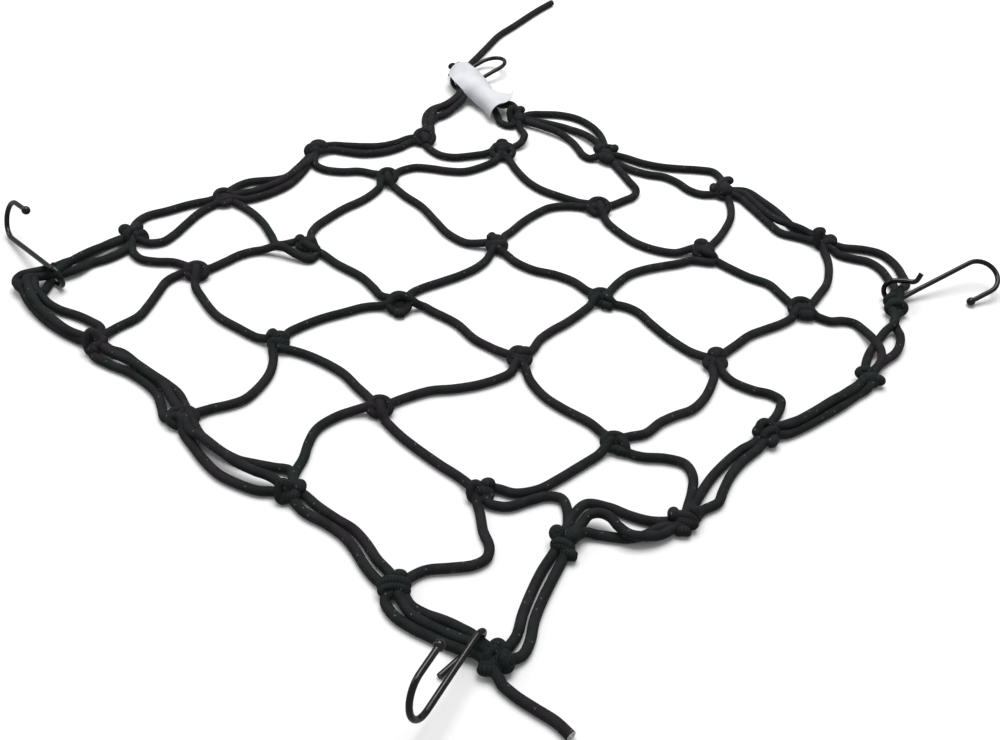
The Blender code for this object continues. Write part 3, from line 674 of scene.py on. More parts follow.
# For each weave, the cord from the left to the back and the cord from the front to the right.
ROUTES: dict[Weave, tuple[tuple[Point, ...], tuple[Point, ...]]] = {
    Weave.LEG: (
        BEHIND,
        ((-0.8, 0.1, 1.0), (-0.35, 0.35, 1.0), (-0.05, 0.25, 1.25), (0.1, -0.3, 1.5), (0.2, -0.95, 1.25)),
    ),
    Weave.ACROSS: (
        BEHIND,
        ((-0.9, -0.4, 1.2), (-0.4, -0.15, 1.7), (0.15, 0.0, 1.9), (0.75, -0.05, 1.8), (1.35, -0.15, 1.4),
         (1.95, -0.15, 0.9)),
    ),
    Weave.VEE: (
        BEHIND,
        ((-0.8, -0.7, 1.05), (-0.4, -0.1, 1.2), (-0.1, 0.35, 1.0), (0.2, 0.3, 1.0), (0.5, -0.15, 1.25),
         (0.95, -0.55, 1.1)),
    ),
    Weave.BALL: (
        ((-0.7, 0.3, 0.9), (0.0, 0.3, 0.8), (0.6, 0.6, 0.7)),
        ((-0.45, -0.9, 0.75), (-0.2, -0.4, 0.95), (0.0, 0.1, 0.8), (0.15, -0.4, 0.95), (0.4, -0.9, 0.75)),
    ),
    Weave.CURL: (
        BEHIND,
        ((1.15, -1.9, 0.55), (1.4, -1.1, 0.6), (1.05, -0.35, 0.75), (0.4, 0.1, 0.95), (-0.05, -0.35, 1.3),
         (0.3, -1.0, 1.4), (0.95, -1.35, 1.2)),
    ),
}


@dataclass(frozen=True)
class Turn:
    """One turn of cord round a knot: an ellipse."""

    at: Point = (0.0, 0.0, 0.85)
    radii: Point = (1.0, 0.75)  # along the ground, and up the slope
    tilt: float = 30.0  # degrees that its plane rises to the side away from where it faces
    facing: float = -90.0  # degrees from right towards back

    def line(self, centre: np.ndarray) -> np.ndarray:
        """The turn's middle line.

        A point is the middle, plus the level radius times the cosine, plus the sloping radius
        times the sine, of an angle that runs all the way round.

        Args:
            centre: The knot's middle, seen from above, in net millimetres.

        Returns:
            Points in net millimetres, one to a row; the first isn't repeated.
        """
        facing, tilt = math.radians(self.facing), math.radians(self.tilt)
        level = np.array([-math.sin(facing), math.cos(facing), 0.0])
        level_share = -math.cos(tilt)
        slope = np.array([math.cos(facing) * level_share, math.sin(facing) * level_share, math.sin(tilt)])
        angle = np.radians(np.linspace(0, 360, TURN_POINTS, endpoint=False))[:, None]
        wide, high = self.radii
        ring = np.array(self.at) + wide * np.cos(angle) * level + high * np.sin(angle) * slope
        return placed_route(ring, centre)

    def add_to(self, skin: SkinMesh, centre: np.ndarray, sides: int) -> None:
        """Add the turn to a mesh, in a knot with its middle at the centre."""
        skin.add_loop(self.line(centre), KNOTTED, sides)


@dataclass(frozen=True)
class Hump:
    """A smooth swell where a bend of cord shows its back: rounded all round, sunk at its ends."""

    at: Point
    length: float = 0.2  # half the length of its straight part, in cord diameters
    lean: float = 0.0  # degrees from right towards back
    radius: float = 0.6
    droop: float = 0.35  # how far its ends sink

    def surface(self, centre: np.ndarray) -> tuple[np.ndarray, np.ndarray]:
        """The swell's middle line and its radius along it, in net millimetres.

        The radius is even along the straight part and falls off as a circle past each end; the
        line sinks by the droop times the square of the share of the way out from the middle.

        Args:
            centre: The knot's middle, seen from above, in net millimetres.

        Returns:
            Points, one to a row, and a radius for each.
        """
        reach = self.length + self.radius
        along = reach * np.sin(np.radians(np.linspace(-HUMP_REACH, HUMP_REACH, HUMP_POINTS)))
        past = np.maximum(np.abs(along) - self.length, 0.0)
        lean = math.radians(self.lean)
        flat = along[:, None] * np.array([math.cos(lean), math.sin(lean)])
        sunk = self.droop * (along / reach) ** 2
        line = placed_route(np.column_stack([flat, -sunk]) + np.array(self.at), centre)
        radii = CORD * np.sqrt(self.radius**2 - past**2)
        line[:, 2] = np.maximum(line[:, 2], radii)
        return line, radii

    def add_to(self, skin: SkinMesh, centre: np.ndarray, sides: int) -> None:
        """Add the swell to a mesh, with the yarns as wide as on the cord."""
        skin.add_tube(*self.surface(centre), sides, rounds=round(2 * self.radius * YARNS) / YARNS)


def placed_route(route: np.ndarray, centre: np.ndarray) -> np.ndarray:
    """A route of right, back and up in net millimetres, no lower than cord lies.

    Args:
        route: Points, one to a row.
        centre: The knot's middle, seen from above, in net millimetres.

    Returns:
        Points, one to a row.
    """
    route = np.asarray(route, float)
    flat = centre + CORD * (route[:, :1] * RIGHT + route[:, 1:2] * BACK)
    return np.column_stack([flat, np.maximum(route[:, 2] * CORD, GROUND)])


@dataclass(frozen=True)
class Knot:
    """How one knot looks: how its cords run, its turns, and where its body is."""

    turns: tuple[Turn | Hump, ...] = ()
    shift: Point = (0.0, 0.0)  # of the whole knot, right and back
    rise: float = 1.0  # height of the border's strands in it
    weave: Weave = Weave.VEE  # of an inner knot


FILL = Hump((0, -0.1, 0.85), 0.15, 0, 0.65)  # fills the middle of a turn

KNOT_LOOKS: dict[tuple[int, int], Knot] = {
    (1, 1): Knot((Turn((0, 0, 0.9), (1.1, 0.93), 30), FILL), (0.25, 0.15), weave=Weave.LEG),
    (2, 1): Knot((Turn((0.1, -0.3, 0.9), (0.8, 0.72)), Hump((-0.68, 0.55, 1.5), 0.1, 60, 0.55),
        Hump((0.2, 0.3, 1.3), 0.3, 0, 0.7), Hump((0.1, -0.2, 0.9), 0.3, 0, 0.8)), (0.45, 0.2),
        weave=Weave.BALL),
    (3, 1): Knot((Turn((0, 0, 0.9), (1.05, 0.9), 30), FILL), (0.15, 0.1), weave=Weave.LEG),
    (4, 1): Knot((Turn((-0.55, -0.4, 1), (0.45, 0.75), 45), Turn((0.25, -0.6, 0.85), (0.6, 0.55)),
        Hump((0.6, 0.35, 1.4), 0.1, 20, 0.6), Hump((0.1, -0.4, 1.1), 0.2, 0, 0.6)), (0.1, -0.3),
        weave=Weave.BALL),
    (1, 2): Knot((Turn((0, -0.3, 1), (0.94, 0.58)), Hump((-0.9, 0.3, 1.4), 0.1, 60, 0.58),
        Hump((0.2, 0, 1.35), 0.25, 0, 0.62), Hump((0, -0.15, 0.95), 0.4, 0, 0.82)), (0.1, 0),
        weave=Weave.CURL),
    (2, 2): Knot((Turn((-0.05, -0.4, 1), (1.1, 1.15)), Turn((-0.05, -0.5, 0.8), (0.62, 0.62)),
        Hump((-0.05, -0.4, 0.75), 0.2, 0, 0.7), Hump((0.05, -1.7, 0.6), 0.2, 0, 0.5)), (0.1, -0.1),
        weave=Weave.ACROSS),
    (3, 2): Knot((Turn((0, -0.1, 0.8), (1, 0.75), 20), Turn((-0.15, 0.2, 1.1), (0.75, 0.65), 40, -70),
        Hump((0.4, 0.4, 1.45), 0.3, 15, 0.6), Hump((0, -0.1, 0.9), 0.4, 0, 0.7)), (0.05, -0.5),
        weave=Weave.BALL),
    (4, 2): Knot((Turn((-0.05, -0.25, 1), (1.05, 0.75)), Hump((0.75, -1.2, 0.6), 0.35, -15, 0.52), FILL)),
    (1, 3): Knot((Turn((0.05, 0, 1.1), (1, 0.9)), Hump((0.05, -0.15, 0.8), 0.25, 0, 0.75)), (0.2, -0.1),
        weave=Weave.LEG),
    (2, 3): Knot((Turn((0.05, -0.15, 0.85), (0.97, 0.83)), Hump((-0.1, 0.45, 1.3), 0.25, 0, 0.7),
        Hump((-0.64, 0.75, 1.5), 0.1, 60, 0.55), Hump((0.1, -0.1, 0.9), 0.35, 0, 0.8)), (0.1, -0.1),
        weave=Weave.BALL),
    (3, 3): Knot((Turn((0, -0.05, 0.95), (1.03, 0.77), 32), FILL, Hump((0.7, -1.2, 0.6), 0.3, -20, 0.49))),
    (4, 3): Knot((Turn((0, -0.45, 0.75), (1, 0.6), 20), Turn((0.2, 0.5, 1.3), (0.6, 0.4), 35),
        Hump((0.2, 0.5, 1.3), 0.15, 60, 0.7), Hump((-0.05, -0.2, 0.9), 0.3, 0, 0.65)), (0.1, -0.2),
        weave=Weave.BALL),
    (1, 4): Knot((Turn((0, -0.3, 0.95), (1.45, 0.95)), Turn((0.1, 0.5, 1.2), (1.15, 0.47), 35),
        Hump((0, 1.4, 1.45), 0.15, 0, 0.62), Hump((0, 0.15, 1), 0.25, 0, 0.8)), (0.1, -0.3),
        weave=Weave.BALL),
    (2, 4): Knot((Turn((0, 0, 0.95), (1.2, 1.05)), Hump((0, 0, 0.9), 0.12, 0, 0.76)), (0.05, -0.1),
        weave=Weave.LEG),
    (3, 4): Knot((Turn((0.05, -0.1, 0.8), (1, 0.66), 25), Hump((-0.1, 0.9, 1.35), 0.15, 0, 0.68),
        Turn((0.1, 0.38, 1.1), (0.75, 0.45), 35), Hump((0.2, -0.1, 1), 0.5, 0, 0.75)), (0.15, 0),
        weave=Weave.CURL),
    (4, 4): Knot((Turn((0, 0.05, 0.95), (1.18, 1), 32), Hump((0.4, -1, 0.65), 0.35, -10, 0.7),
        Hump((0.1, -0.3, 0.9), 0.2, 0, 0.78)), (0, 0.1)),
    (1, 0): Knot((Turn((0, -0.85, 1.3), (0.55, 1.25), 65, -80), Hump((0.8, -0.6, 1.25), 0.4, 70, 0.58),
        Hump((0.2, -0.9, 0.9), 0.5, 90, 0.7)), (0, -0.4)),
    (2, 0): Knot((Turn((-0.2, -0.1, 0.95), (1.3, 0.95), 28), Hump((-0.2, -0.2, 0.8), 0.5, 0, 0.65)),
        rise=1.3),
    (3, 0): Knot((Turn((-0.64, -0.3, 1.2), (0.42, 0.88), 60), Hump((0.9, 0.55, 1.1), 0.1, 90, 0.63),
        Hump((0, -0.4, 0.8), 0.3, 0, 0.7), Hump((0.2, 0.6, 1.2), 0.2, 0, 0.5)), (0, -0.4)),
    (4, 0): Knot((Turn((-0.2, 0.15, 1.05), (1.12, 0.45), 60), Hump((0.25, 1.2, 1.25), 0.15, 0, 0.5),
        Turn((-0.15, -0.35, 0.85), (1.05, 0.4), 50), Hump((-0.15, 0.1, 0.8), 0.5, 0, 0.7)), (0, -0.2), 0.7),
    (5, 0): Knot((Turn((0.1, 1.15, 1.2), (0.38, 0.38), 20, -60),
        Turn((0.6, -0.25, 1.1), (0.5, 0.6), 30, -60), Turn((0.7, -0.15, 1.2), (0.5, 0.5), 70, -10),
        Hump((-0.8, -0.9, 0.85), 0.2, 0, 0.6), Turn((-0.27, 0.2, 1.2), (0.56, 0.52), 40, -50),
        Hump((0.6, -0.1, 1.2), 0.2, 0, 0.7), Hump((-0.2, -0.3, 0.9), 0.7, 20, 0.7)), (0.2, 0.65)),
    (5, 1): Knot((Turn((-0.85, 0.45, 1.4), (0.3, 0.35), 40), Hump((0.48, 0.4, 1.4), 0.1, 40, 0.64),
        Turn((-0.35, -0.75, 0.95), (0.75, 0.4), 70, -110), Hump((-0.4, -0.85, 0.9), 0.45, -25, 0.62),
        Hump((0.7, 0.35, 1.35), 0.3, 50, 0.75), Hump((0.15, -1.5, 0.75), 0.3, -25, 0.6)), (-0.1, -0.6),
        0.9),
    (5, 2): Knot((Hump((-1.06, 0.4, 1.3), 0.1, 80, 0.6), Turn((-0.1, -0.05, 1), (0.95, 0.45), 65, -105),
        Turn((1.2, 0.65, 1.1), (0.3, 0.5), 75, -20), Hump((0, -0.2, 0.9), 0.6, -15, 0.7),
        Hump((-0.25, -1.15, 0.65), 0.3, 0, 0.55)), (0.1, -0.4), 0.8),
    (5, 3): Knot((Turn((-0.2, 0.25, 1.05), (0.75, 0.8), 45, -60),
        Turn((0.2, -0.45, 0.9), (0.85, 0.55), 65, -60), Hump((-1, 0.1, 1), 0.1, 60, 0.6),
        Hump((0.4, -1.1, 0.8), 0.2, 60, 0.6), FILL), rise=0.8),
    (5, 4): Knot((Turn((-0.45, 0.45, 1.1), (0.7, 0.35), 40), Turn((0, -0.5, 0.85), (0.65, 0.5), 35),
        Hump((0.75, -0.4, 0.85), 0.2, -20, 0.65), Hump((0, -0.3, 0.9), 0.3, 0, 0.75)), (0, -0.1), 0.8),
    (5, 5): Knot((Turn((0.1, 0.3, 1.05), (1, 0.65), 55), Hump((0.1, 0.5, 0.9), 0.6, 0, 0.6),
        Turn((0.1, 1.9, 1), (0.75, 0.5), 50, -80), Hump((0.5, 2.7, 1.1), 0.2, 20, 0.62),
        Hump((0.2, 1.6, 0.9), 0.4, 0, 0.7)), (0.05, 0.3), 0.9),
    (4, 5): Knot((Turn((-0.3, -0.25, 1.1), (0.45, 1.2), 65, -60), Hump((-0.1, 1.3, 1.45), 0.25, 15, 0.56),
        Turn((1.2, -0.05, 1.1), (0.35, 0.35), 20, -50), Hump((0.4, -0.1, 0.9), 0.3, 70, 0.72)), (0, -0.4),
        0.7),
    (3, 5): Knot((Hump((0.6, 1.75, 1.4), 0.3, 20, 0.6), Hump((-1.35, 0.2, 1.1), 0.15, 80, 0.62),
        Turn((0, -0.35, 0.9), (0.85, 0.8), 35), Turn((-0.25, 0.6, 1.15), (0.6, 0.55), 60, -40),
        Hump((0, 0, 0.9), 0.3, 90, 1)), (-0.1, -0.2), 0.8),
    (2, 5): Knot((Turn((0.1, 0.8, 1.2), (1.3, 0.3), 35), Hump((1.3, 0.8, 1.3), 0.1, 60, 0.6),
        Hump((0.15, -1.2, 0.85), 0.35, -35, 0.8), Turn((-0.6, 0.2, 1.1), (0.5, 0.6), 60, -50),
        Hump((0, -0.2, 1), 0.5, -35, 0.72)), (0.2, -0.4), 0.9),
    (1, 5): Knot((Turn((-0.6, -0.3, 1.1), (0.5, 1.2), 60, -60), Hump((0.38, 1.25, 1.4), 0.15, 30, 0.6),
        Hump((0.27, -0.6, 0.9), 0.1, 0, 0.9), Hump((0, 0, 0.8), 0.3, 0, 0.8)), (-0.1, -0.1), 0.8),
    (0, 1): Knot((Turn((-0.9, 0.7, 1.3), (0.38, 0.3), 35), Hump((0.56, 1.15, 1.4), 0.15, 80, 0.58),
        Turn((1.25, 0.35, 0.8), (0.25, 0.45), 60, -20), Turn((0, -0.3, 1.05), (0.75, 0.7), 70, -25),
        Hump((0, 0.1, 0.95), 0.35, 0, 0.8)), (0, -0.2), 0.8),
    (0, 2): Knot((Turn((-0.2, 0.2, 1), (0.9, 0.62), 40, -75), Turn((-0.1, -0.5, 0.75), (0.8, 0.6), 15),
        FILL), (-0.1, -0.3), 0.9),
    (0, 3): Knot((Turn((0.3, 0.65, 1.15), (0.8, 0.5), 30), Turn((-0.45, -0.5, 0.95), (0.75, 0.65), 55, -60),
        Hump((0.3, 0.6, 1.2), 0.4, 0, 0.65), Hump((-0.45, -0.45, 0.85), 0.2, 0, 0.85)), (0, -0.1), 0.8),
    (0, 5): Knot((Hump((-0.69, -0.72, 2), 0.15, 30, 0.45), Hump((0.45, -0.2, 2), 0.2, 10, 0.45))),
    (0, 4): Knot((Turn((-0.05, -0.35, 0.95), (1.2, 1.05), 32, -80), Hump((-0.05, -0.4, 0.9), 0.15, 0, 0.78),
        Hump((-0.1, -0.65, 1.25), 0.8, -72, 0.54, 0.4)), (0, -0.2), 0.8),
}


def look_of(i: int, j: int) -> Knot:
    """How the knot in a column and a row looks; one that isn't listed is a plain corner."""
    return KNOT_LOOKS.get((i, j), Knot())


def knot_centre(i: int, j: int) -> np.ndarray:
    """The middle of a knot's body, seen from above, in net millimetres."""
    shift = look_of(i, j).shift
    return np.array(KNOTS[j][i], float) + KNOT_LEAN + CORD * (shift[0] * RIGHT + shift[1] * BACK)


def add_turns(skin: SkinMesh, i: int, j: int, sides: int) -> None:
    """Add a knot's own turns and swells to a mesh.

    Args:
        skin: The mesh to add to.
        i: Column of the knot.
        j: Row of the knot.
        sides: Points round the cord.
    """
    for turn in look_of(i, j).turns:
        turn.add_to(skin, knot_centre(i, j), sides)


# --- Sub-assemblies ----------------------------------------------------------------------------
class Part(Enum):
    """The bodies that pieces ride on."""

    NET = "net"
    FRONT_LEFT_HOOK = "front_left_hook"
    FRONT_RIGHT_HOOK = "front_right_hook"
    BACK_RIGHT_HOOK = "back_right_hook"


def dress(piece: bpy.types.Object, part: Part, slot: str, *solids: str) -> bpy.types.Object:
    """Put a piece on its body and let it stand for its solids.

    Args:
        piece: The finished piece.
        part: The body that it rides on.
        slot: The material slot that its finish belongs to; not used.
        *solids: The solids that it replaces.

    Returns:
        The piece.
    """
    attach(piece, part.value)
    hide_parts(*solids)
    return piece


@dataclass
class MeshCords:
    """The cords inside the border: each climbs like a staircase from knot to knot.

    In a knot the cord that comes from the left wraps round and leaves to the back; the cord
    that comes from the front makes a bight and leaves to the right.
    """

    finishes: Finishes
    step: float = 1.5
    sides: int = 16

    def staircase(self, i: int, j: int, along: bool) -> np.ndarray:
        """The line of one cord from a border knot to another.

        Args:
            i: Column of the knot it starts at.
            j: Row of that knot.
            along: True where its first span runs to the right.

        Returns:
            The cord's middle line in net millimetres.
        """
        start = np.array([*knot_centre(i, j), CORD])
        pieces = [start[None]]
        while True:
            span = SPANS_ALONG[j - 1][i] if along else SPANS_ACROSS[i - 1][j]
            pieces.append(lifted(span))
            i, j = (i + 1, j) if along else (i, j + 1)
            if i == CELLS or j == CELLS:
                break
            route = ROUTES[look_of(i, j).weave][0 if along else 1]
            pieces.append(placed_route(np.array(route), knot_centre(i, j)))
            along = not along
        pieces.append(np.array([*knot_centre(i, j), CORD])[None])
        return smooth_line(np.vstack(pieces), self.step)

    def build(self) -> list[bpy.types.Object]:
        """Make the mesh cords as one piece and let it stand for their solids."""
        skin = SkinMesh()
        for index in range(1, CELLS):
            skin.add_tube(self.staircase(0, index, True), CORD / 2, self.sides)
            skin.add_tube(self.staircase(index, 0, False), CORD / 2, self.sides)
        for i in range(1, CELLS):
            for j in range(1, CELLS):
                add_turns(skin, i, j, self.sides)
        solids = [f"lengthwise_cord_{row}" for row in range(1, CELLS)]
        for column in range(1, CELLS):
            solids += [f"crosswise_cord_{column}_{row}" for row in range(1, CELLS + 1)]
        piece = skin.build("mesh_cords", self.finishes.sheath)
        return [dress(piece, Part.NET, "elastic_cord", *solids)]


@dataclass
class Border:
    """The border's strands and the turns that knot them together."""

    finishes: Finishes
    step: float = 1.5
    sides: int = 16
    pass_spread: float = 0.5  # cord diameters from a knot's middle to its outermost strand
    sides_of_net: tuple[str, ...] = ("front", "right", "back", "left")

    def knots_of(self, side: str) -> list[tuple[int, int]]:
        """The knots of one side in the order of travel round the net."""
        steps = range(CELLS + 1)
        return {
            "front": [(k, 0) for k in steps],
            "right": [(CELLS, k) for k in steps],
            "back": [(CELLS - k, CELLS) for k in steps],
            "left": [(0, CELLS - k) for k in steps],
        }[side]

    def through(self, i: int, j: int, share: float, heading: np.ndarray) -> np.ndarray:
        """The point where a strand passes a knot.

        Args:
            i: Column of the knot.
            j: Row of the knot.
            share: From -1 for the outermost strand to 1 for the innermost.
            heading: Direction of travel in the knot.

        Returns:
            One point in net millimetres, as a row.
        """
        across = np.array([-heading[1], heading[0]])
        middle = knot_centre(i, j) + across * share * self.pass_spread * CORD
        return np.array([[*middle, look_of(i, j).rise * CORD]])

    def strand_lines(self, side: str) -> list[np.ndarray]:
        """The middle lines of one side's strands.

        The outermost and innermost strands go on from span to span; a middle strand ends inside
        the knots of its span. The front side's outermost strand runs on into the front free end.

        Args:
            side: Name of the side.

        Returns:
            The lines in net millimetres.
        """
        knots, spans = self.knots_of(side), BORDER_STRANDS[side]
        headings = [unit(knot_centre(*end) - knot_centre(*start)) for start, end in zip(knots, knots[1:])]
        headings = [headings[0], *(unit(one + two) for one, two in zip(headings, headings[1:])), headings[-1]]
        gates = {share: [self.through(*knot, share, heading) for knot, heading in zip(knots, headings)]
                 for share in (-1.0, 0.0, 1.0)}
        outer, inner = [gates[-1.0][0]], [gates[1.0][0]]
        lines: list[np.ndarray] = []
        for k, span in enumerate(spans):
            outer += [lifted(span[0]), gates[-1.0][k + 1]]
            inner += [lifted(span[-1]), gates[1.0][k + 1]]
            for strand in span[1:-1]:
                lines.append(np.vstack([gates[0.0][k], lifted(strand), gates[0.0][k + 1]]))
        if side == "front":
            outer[-1] = lifted((TAIL_RISE, TAIL_FRONT[0]))
        return [smooth_line(line, self.step) for line in (np.vstack(outer), np.vstack(inner), *lines)]

    def build(self) -> list[bpy.types.Object]:
        """Make each side as one piece that stands for the side's solids."""
        made = []
        for side in self.sides_of_net:
            skin = SkinMesh()
            for line in self.strand_lines(side):
                skin.add_tube(line, CORD / 2, self.sides)
            for key in self.knots_of(side)[:-1]:
                add_turns(skin, *key, self.sides)
            piece = skin.build(f"{side}_border", self.finishes.sheath)
            strands = [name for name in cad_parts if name.startswith(f"border_strand_{side}")]
            made.append(dress(piece, Part.NET, "elastic_cord", f"border_{side}", *strands))
        return made


@dataclass
class CordTails:
    """The two free ends of the border cord, each cut off square."""

    finishes: Finishes
    step: float = 1.5
    sides: int = 20

    def build(self) -> list[bpy.types.Object]:
        made = []
        for name, points in (("front_tail", TAIL_FRONT), ("back_tail", TAIL_BACK)):
            line = smooth_line(lifted(points), self.step)
            skin = SkinMesh()
            skin.add_tube(line, CORD / 2, self.sides, caps=(0, 1))
            piece = skin.build(name, self.finishes.sheath, self.finishes.rubber)
            dress(piece, Part.NET, "elastic_cord", f"cord_tail_{name.split('_')[0]}")
            made.append(piece)
        return made


@dataclass(frozen=True)
class HookBend:
    """One hook's own bends, in net millimetres; see the wire's line below."""

    name: str
    part: Part
    eye: Point  # the eye's middle, seen from above
    axis: Point  # the direction that the eye faces
    shank_end: Point
    curl: Point  # the way the arc bends away from the shank
    over: bool  # whether the shank leaves the top of the eye
    turn: float  # degrees that the wire runs round the eye
    lead: float  # how far the eye's coil runs along its axis
    stub: float  # length of the straight bit that ends the eye
    flick: Point = ()  # how the stub's last bit turns off


HOOKS = (
    HookBend("hook_front_left", Part.FRONT_LEFT_HOOK, (-174.6, -177.5), (-0.1, 1), (-232, -172, 3.5),
             (-0.04, 0.37, 0.93), over=True, turn=325, lead=3.6, stub=1.0),
    HookBend("hook_front_right", Part.FRONT_RIGHT_HOOK, (175.5, -187.5), (1, 0.05), (188, -228, 14),
             (-0.2, 0.09, 0.98), over=True, turn=180, lead=-3.4, stub=19.0),
    HookBend("hook_back_right", Part.BACK_RIGHT_HOOK, (162.5, 179.0), (-0.35, 0.937), (182, 232, 15),
             (0.88, -0.16, -0.37), over=False, turn=185, lead=3.4, stub=12.0, flick=(1.2, 2.5, 5.0)),
    HookBend("hook_back_left", Part.NET, (-200.4, 172.2), (-0.5, 0.86), (-196, 211, 9),
             (-0.94, 0.1, -0.16), over=False, turn=225, lead=3.4, stub=2.0),
)


@dataclass
class WireHooks:
    """The hooks, each bent from one coated wire: an eye, a straight shank, an arc and a ball tip."""

    finishes: Finishes
    wire: float = 3.0
    eye_radius: float = 6.2
    eye_height: float = 7.9
    arc_radius: float = 10.8
    tip: float = 13.3
    ball: float = 2.6
    sides: int = 16
    step: float = 0.8

    def wire_line(self, hook: HookBend) -> np.ndarray:
        """The middle line of a hook's wire.

        The eye is a helix round the border, the shank leaves it along its tangent, and the arc
        is half a circle in the plane of the shank and the curl's direction. The slope at which
        the shank leaves the eye depends on the point where it leaves, so it is found by repeating.

        Args:
            hook: The hook's own bends.

        Returns:
            The line from the stub's end to the tip, in net millimetres.
        """
        up = np.array([0.0, 0.0, 1.0])
        axis = np.array([*unit(np.array(hook.axis)), 0.0])
        eye = np.array([*hook.eye, self.eye_height])
        shank_end = np.array(hook.shank_end, float)
        out = np.cross(axis, up)
        out = out * math.copysign(1.0, (shank_end - eye) @ out)
        sign = 1.0 if hook.over else -1.0
        slope = 0.0
        for _ in range(20):
            leave = eye + self.eye_radius * sign * (math.cos(slope) * up - math.sin(slope) * out)
            slope = math.atan2((shank_end - leave) @ up, (shank_end - leave) @ out)
        ahead = math.cos(slope) * out + math.sin(slope) * up
        aside = math.cos(slope) * up - math.sin(slope) * out
        turns = np.radians(np.linspace(hook.turn, 0, round(hook.turn / 8)))[:, None]
        leads = np.linspace(hook.lead, 0, len(turns))[:, None]
        loop = eye + self.eye_radius * (np.cos(turns) * sign * aside - np.sin(turns) * ahead) + leads * axis
        first = turns[0, 0]
        backward = -math.cos(first) * ahead - math.sin(first) * sign * aside
        stub = loop[0] + backward * hook.stub
        along = unit(shank_end - leave)
        curl = np.array(hook.curl)
        curl = unit(curl - along * (along @ curl))
        shank = leave + (shank_end - leave) * np.array([0.3, 0.65])[:, None]
        swing = np.linspace(0, math.pi, 25)[:, None]
        arc = shank_end + self.arc_radius * (np.sin(swing) * along + (1 - np.cos(swing)) * curl)
        tip = arc[-1] - along * self.tip * np.array([0.5, 1.0])[:, None]
        if hook.flick:
            stub = np.vstack([stub + np.array(hook.flick), stub, (stub + loop[0]) / 2])
        return smooth_line(np.vstack([stub, loop, shank, arc, tip]), self.step, lowest=self.wire / 2)

    def add_ball(self, skin: SkinMesh, line: np.ndarray) -> None:
        """The ball on the wire's tip: circles whose radius and place follow a half circle."""
        ahead = unit(line[-1] - line[-2])
        angle = np.radians(np.linspace(-75, 88, 14))
        middle = line[-1] + ahead * self.ball * 0.8
        balls = middle + ahead * (self.ball * np.sin(angle))[:, None]
        skin.add_tube(balls, self.ball * np.cos(angle), self.sides)

    def build(self) -> list[bpy.types.Object]:
        """Make the four hooks, each on the body listed for it."""
        made = []
        for hook in HOOKS:
            line = self.wire_line(hook)
            skin = SkinMesh()
            skin.add_tube(line, self.wire / 2, self.sides)
            self.add_ball(skin, line)
            piece = skin.build(f"{hook.name}_wire", self.finishes.wire)
            made.append(dress(piece, hook.part, "coated_wire", hook.name))
        return made


@dataclass(frozen=True)
class LabelSection:
    """The label across its length: where its crest is, and how its two sides curl down from it."""

    along: float  # share of the label's length
    crest_side: float  # millimetres of the crest to the left of the label's axis
    crest_height: float
    near_width: float  # millimetres of sheet on the crest's right
    near_curl: float  # degrees that it turns down
    far_curl: float  # degrees that the rest turns down on the left
    pull_back: float  # millimetres that the left edge falls short along the axis


